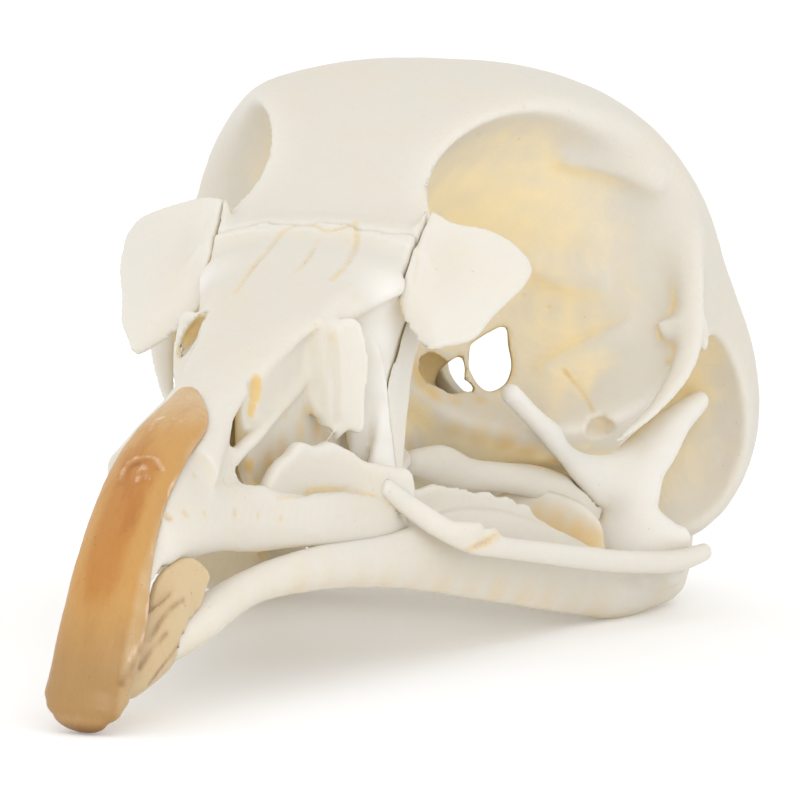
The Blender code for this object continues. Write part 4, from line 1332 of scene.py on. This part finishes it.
def pterygoid_shape(clay, view):
    """The left pterygoid, from the quadrate forward to the palate."""
    rows = (
        (412, 462, 29.4, 0.35, 0.45), (442, 465, 31.2, 0.42, 0.74), (467, 474, 32.6, 0.4, 0.6),
        (500, 477, 34.0, 0.42, 0.56), (530, 481, 35.6, 0.44, 0.62), (556, 490, 36.8, 0.44, 0.7),
        (580, 507, 37.7, 0.46, 0.88), (590, 514, 38.2, 0.4, 0.9),
    )
    clay.bar(view.rows(rows), steps=30)


def palatine_shape(clay):
    """The left palatine."""
    clay.bar(((2.7, 19.8, 6.4, 0.6, 0.28), (2.6, 23.0, 6.5, 0.75, 0.3), (2.2, 26.0, 6.7, 0.65, 0.36),
              (1.3, 28.4, 6.9, 0.4, 0.5)), steps=20)


class SKULL_OT_palate(bpy.types.Operator):
    """Builds the pterygoids and the palatines"""

    bl_idname = "skull.palate"
    bl_label = "Pterygoids and palatines"

    def execute(self, context):
        view = PhotoView(context.scene.studio_setup)
        step = mesh_step(context) * 0.75
        clay = Clay((0.4, 28.0, 2.4), (8.0, 39.6, 8.4), step)
        pterygoid_shape(clay, view)
        quadrate_shape(clay, LEFT, carve=True, grow=0.1)
        # The pale mark is painted light that lightens the pterygoids
        bone_piece("pterygoid_bone", clay, ["pterygoid_left", "pterygoid_right"], pale=0.35)
        clay = Clay((0.4, 18.8, 5.4), (4.2, 29.6, 8.2), step)
        palatine_shape(clay)
        bone_piece("palatine_bone", clay, ["palatine_left", "palatine_right"])
        return {"FINISHED"}


# The cells that openness is measured in and how far it looks, in millimetres
OPEN_STEP = 0.5
OPEN_REACH = 11.0
OPEN_STRIDE = 2


class OpenSpace:
    """How much of the surroundings can be seen from each place round the skull, for the painted shade and
    painted bounce light of the bone.
    """

    whole = None

    def __init__(self):
        view = PhotoView(bpy.context.scene.studio_setup)
        clay = Clay((-13.0, -1.0, -1.0), (13.0, 54.0, 22.5), OPEN_STEP)
        upper_skull(clay, marks=False)
        jaw_shape(clay, view)
        quadrate_shape(clay, LEFT)
        cheek_bar_shape(clay, view)
        pterygoid_shape(clay, view)
        palatine_shape(clay)
        horn_rings(clay)
        bone = (clay.values < 0) | (clay.values[::-1] < 0)
        pad = int(OPEN_REACH / OPEN_STEP) + OPEN_STRIDE
        padded = np.pad(bone, pad)
        total = np.zeros(bone.shape, dtype=np.float32)
        ways = [(i, j, k) for i in (-1, 0, 1) for j in (-1, 0, 1) for k in (-1, 0, 1) if i or j or k]
        for way in ways:
            blocked = np.zeros(bone.shape, dtype=bool)
            length = math.sqrt(sum(part * part for part in way)) * OPEN_STEP
            for distance in range(1, int(OPEN_REACH / length), OPEN_STRIDE):
                cut = tuple(slice(pad + part * distance, pad + part * distance + count)
                            for part, count in zip(way, bone.shape))
                blocked |= padded[cut]
            total += ~blocked
        clay.values = total / len(ways)
        self.clay = clay

    @classmethod
    def at(cls, points):
        if cls.whole is None:
            cls.whole = cls()
        return cls.whole.clay.distance_at(points)


def horn_rings(clay, grow=0.0, carve=False):
    """The sheath over the ridge and tip of the bill, as a bar that follows the curve of the ridge."""
    rows = (
        (-0.15, 10.15, 9.84, 0.45, 0.35),
        (0.12, 8.7, 9.24, 0.97, 0.5),
        (0.06, 6.66, 8.32, 1.12, 0.52),
        (-0.06, 4.69, 6.87, 1.14, 0.58),
        (0.04, 2.95, 5.15, 1.25, 0.62),
        (0.1, 1.87, 3.25, 1.40, 0.7),
        (0.02, 1.1, 1.7, 1.38, 0.65),
        (-0.03, 0.62, 0.85, 1.28, 0.6),
        (-0.1, 0.5, 0.5, 0.95, 0.45),
    )
    rows = [(*row[:3], row[3] + grow, row[4] + grow) for row in rows]
    clay.bar(rows, steps=40, up=(0.0, -0.7, 0.7), blend=0.05 if carve else 0.4, carve=carve)


class SKULL_OT_upper_horn(bpy.types.Operator):
    """Builds the horn of the upper bill"""

    bl_idname = "skull.upper_horn"
    bl_label = "Horn of the upper bill"

    def execute(self, context):
        view = PhotoView(context.scene.studio_setup)
        clay = Clay((-2.4, -0.4, -0.3), (2.4, 11.6, 11.4), mesh_step(context) * 0.7)
        horn_rings(clay)
        flakes, rims = view.traced_all(clay, HORN_FLAKES), view.traced_all(clay, HORN_RIMS)
        bone_piece("upper_bill_horn", clay, ["upper_horn"], finish=horn_material(), relief=0.03,
                   extra=lambda points: horn_marks(points, flakes, rims))
        return {"FINISHED"}


HORN_FLAKES = (
    ((120, 478), (126, 466), (134, 459), (146, 456), (157, 460), (162, 470)),
    ((137, 480), (139, 472), (143, 466)),
    ((143, 466), (146, 472), (148, 479)),
    ((150, 430), (155, 421), (163, 417)),
    ((174, 419), (180, 421)),
    ((178, 476), (170, 490), (165, 505), (161, 520)),
    ((152, 548), (154, 565), (152, 585), (148, 605), (145, 625)),
    ((146, 628), (142, 640), (135, 650), (130, 660)),
)
LOWER_HORN_CRACKS = (
    ((150, 640), (160, 622), (172, 608), (183, 600)),
    ((140, 668), (152, 650), (166, 634)),
    ((150, 684), (164, 664), (178, 645), (188, 628)),
)
HORN_RIMS = (
    ((122, 482), (128, 471), (137, 464), (147, 462), (156, 468)),
    ((140, 650), (135, 662), (128, 674), (122, 684)),
)


def lower_horn_marks(points, cracks):
    """The lower horn is pale, cracked and a little pink where it chips."""
    blank = np.zeros(len(points))
    rim = near_line(points, cracks, 0.09) * (0.6 + 0.4 * noise(points, 0.4))
    return {"band": blank, "edge": blank + 0.75, "flake": soft_step(noise(points, 0.5), 0.45, 0.8) * 0.5,
            "rim": rim, "low": blank}


def horn_marks(points, flakes=(), rims=()):
    """How banded, pale-edged, flaking and dark-rimmed the horn is at each point."""
    x, y, z = points.T
    across = np.abs(x + 0.05) / 1.3
    band = (1 - soft_step(across, 0.15, 0.85)) * soft_step(z, 2.6, 5.2) * (1 - soft_step(z, 7.8, 9.0))
    edge = np.maximum(soft_step(across, 0.74, 1.02) * 0.45, soft_step(z, 8.4, 9.6) * 0.5)
    patch = (1 - soft_step(z, 0.5, 1.0)) * soft_step(x, -1.1, -0.7) * (1 - soft_step(x, 0.0, 0.5)) * 0.25
    edge = np.maximum(edge, patch)
    breaks = 0.6 + 0.4 * noise(points, 0.22)
    flake = near_line(points, flakes, 0.13) * breaks
    rim = near_line(points, rims, 0.12) * (0.35 + 0.65 * noise(points + 9.0, 0.3))
    rim = np.maximum(rim, (1 - soft_step(z, 0.1, 0.5)) * 0.75)
    low = 1 - soft_step(z, 1.5, 4.8)
    return {"band": band, "edge": edge, "flake": flake, "rim": rim, "low": low}


class SKULL_OT_lower_horn(bpy.types.Operator):
    """Builds the horn of the lower bill"""

    bl_idname = "skull.lower_horn"
    bl_label = "Horn of the lower bill"

    def execute(self, context):
        view = PhotoView(context.scene.studio_setup)
        clay = Clay((-3.2, 1.4, 0.2), (3.2, 7.4, 5.9), mesh_step(context) * 0.7)
        clay.shell(((2.1, 1.6, 0.9, 0.7), (2.8, 3.0, 0.7, 1.3), (3.8, 4.6, 0.9, 1.75),
                    (5.4, 5.6, 1.6, 2.1)), waist=0.5)
        for side in (LEFT, RIGHT):
            rows = [(x * side, y, z, a + 0.08, b + 0.08) for x, y, z, a, b in JAW[:4]]
            clay.bar(rows, steps=16, blend=0.05, carve=True)
        clay.lump((0.0, 5.2, 2.3), (1.7, 2.5, 0.7), blend=0.05, carve=True)
        clay.shell(FRONT, waist=0.25, upper_power=1.9, lower_power=3.0, blend=0.05, carve=True, grow=0.06)
        clay.lump((0.0, 5.6, 4.4), (1.75, 3.2, 2.1), blend=0.1, carve=True)
        view.sheet(clay, ((147, 613), (156, 580), (168, 566), (193, 558), (203, 566), (209, 576),
                          (203, 592), (199, 601),
                          (186, 612), (165, 622)), (1.6, 4.8, 4.2), 0.4, along=(0.5, 0.86, 0.1), blend=0.2,
                          edge=0.3)
        horn_rings(clay, 0.06, carve=True)
        cracks = view.traced_all(clay, LOWER_HORN_CRACKS)
        bone_piece("lower_bill_horn", clay, ["lower_horn"], finish=horn_material(), relief=0.05,
                   extra=lambda points: lower_horn_marks(points, cracks))
        return {"FINISHED"}


class SKULL_OT_stage(bpy.types.Operator):
    """Sets out the floor, the lights and the camera"""

    bl_idname = "skull.stage"
    bl_label = "Floor, lights and camera"

    def execute(self, context):
        scene, look = context.scene, context.scene.studio_setup
        mesh = bpy.data.meshes.new("floor")
        reach = FLOOR_REACH
        mesh.from_pydata([(-reach, -reach, 0), (reach, -reach, 0), (reach, reach, 0), (-reach, reach, 0)], [],
                         [(0, 1, 2, 3)])
        mesh.materials.append(floor_material(look))
        floor = bpy.data.objects.new("floor", mesh)
        scene.collection.objects.link(floor)
        world = bpy.data.worlds.new("even_light")
        world.use_nodes = True
        world.node_tree.nodes["Background"].inputs["Color"].default_value = (1.0, 1.0, 1.0, 1.0)
        world.node_tree.nodes["Background"].inputs["Strength"].default_value = look.sky
        scene.world = world
        for name, place, share in (("key_light", KEY_PLACE, 1.0), ("side_light", SIDE_PLACE, SIDE_SHARE)):
            data = bpy.data.lights.new(name, "AREA")
            data.energy, data.size = look.key_power * share, LIGHT_SIZE
            light = bpy.data.objects.new(name, data)
            light.location = place
            light.rotation_euler = light.location.to_track_quat("Z", "Y").to_euler()
            scene.collection.objects.link(light)
        data = bpy.data.cameras.new("camera")
        data.sensor_width = SENSOR_WIDTH
        data.lens = look.focal_pixels * SENSOR_WIDTH / PHOTO_PIXELS
        data.clip_start, data.clip_end = 0.01, 200.0
        camera = bpy.data.objects.new("camera", data)
        view = PhotoView(look)
        place = (view.place - (0.0, MID_LENGTH, 0.0)) * MILLIMETRE
        camera.matrix_world = Matrix([[view.right[i], view.up[i], view.back[i], place[i]] for i in range(3)]
                                     + [[0, 0, 0, 1]])
        scene.collection.objects.link(camera)
        scene.camera = camera
        scene.view_settings.view_transform = "Standard"
        return {"FINISHED"}


STEPS = (
    SKULL_OT_upper,
    SKULL_OT_jaw,
    SKULL_OT_quadrates,
    SKULL_OT_cheek_bars,
    SKULL_OT_palate,
    SKULL_OT_upper_horn,
    SKULL_OT_lower_horn,
    SKULL_OT_stage,
)
GROUPS = {
    "skull_sizes": SkullSizes,
    "bone_finish": BoneFinish,
    "horn_finish": HornFinish,
    "studio_setup": StudioSetup,
}


class SKULL_PT_panel(bpy.types.Panel):
    """Lists the values and the steps of the skull"""

    bl_idname = "SKULL_PT_panel"
    bl_label = "Chukar skull"
    bl_space_type = "VIEW_3D"
    bl_region_type = "UI"
    bl_category = "Chukar skull"

    def draw(self, context):
        for word, group in GROUPS.items():
            box = self.layout.box()
            for value in group.__annotations__:
                box.prop(getattr(context.scene, word), value)
        for step in STEPS:
            self.layout.operator(step.bl_idname)


def register():
    for word, group in GROUPS.items():
        bpy.utils.register_class(group)
        setattr(bpy.types.Scene, word, bpy.props.PointerProperty(type=group))
    for step in (*STEPS, SKULL_PT_panel):
        bpy.utils.register_class(step)


def unregister():
    for step in reversed((*STEPS, SKULL_PT_panel)):
        bpy.utils.unregister_class(step)
    for word, group in reversed(GROUPS.items()):
        delattr(bpy.types.Scene, word)
        bpy.utils.unregister_class(group)


def main():
    register()
    for step in STEPS:
        family, word = step.bl_idname.split(".")
        getattr(getattr(bpy.ops, family), word)()
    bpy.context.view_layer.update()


if __name__ == "__main__":
    main()
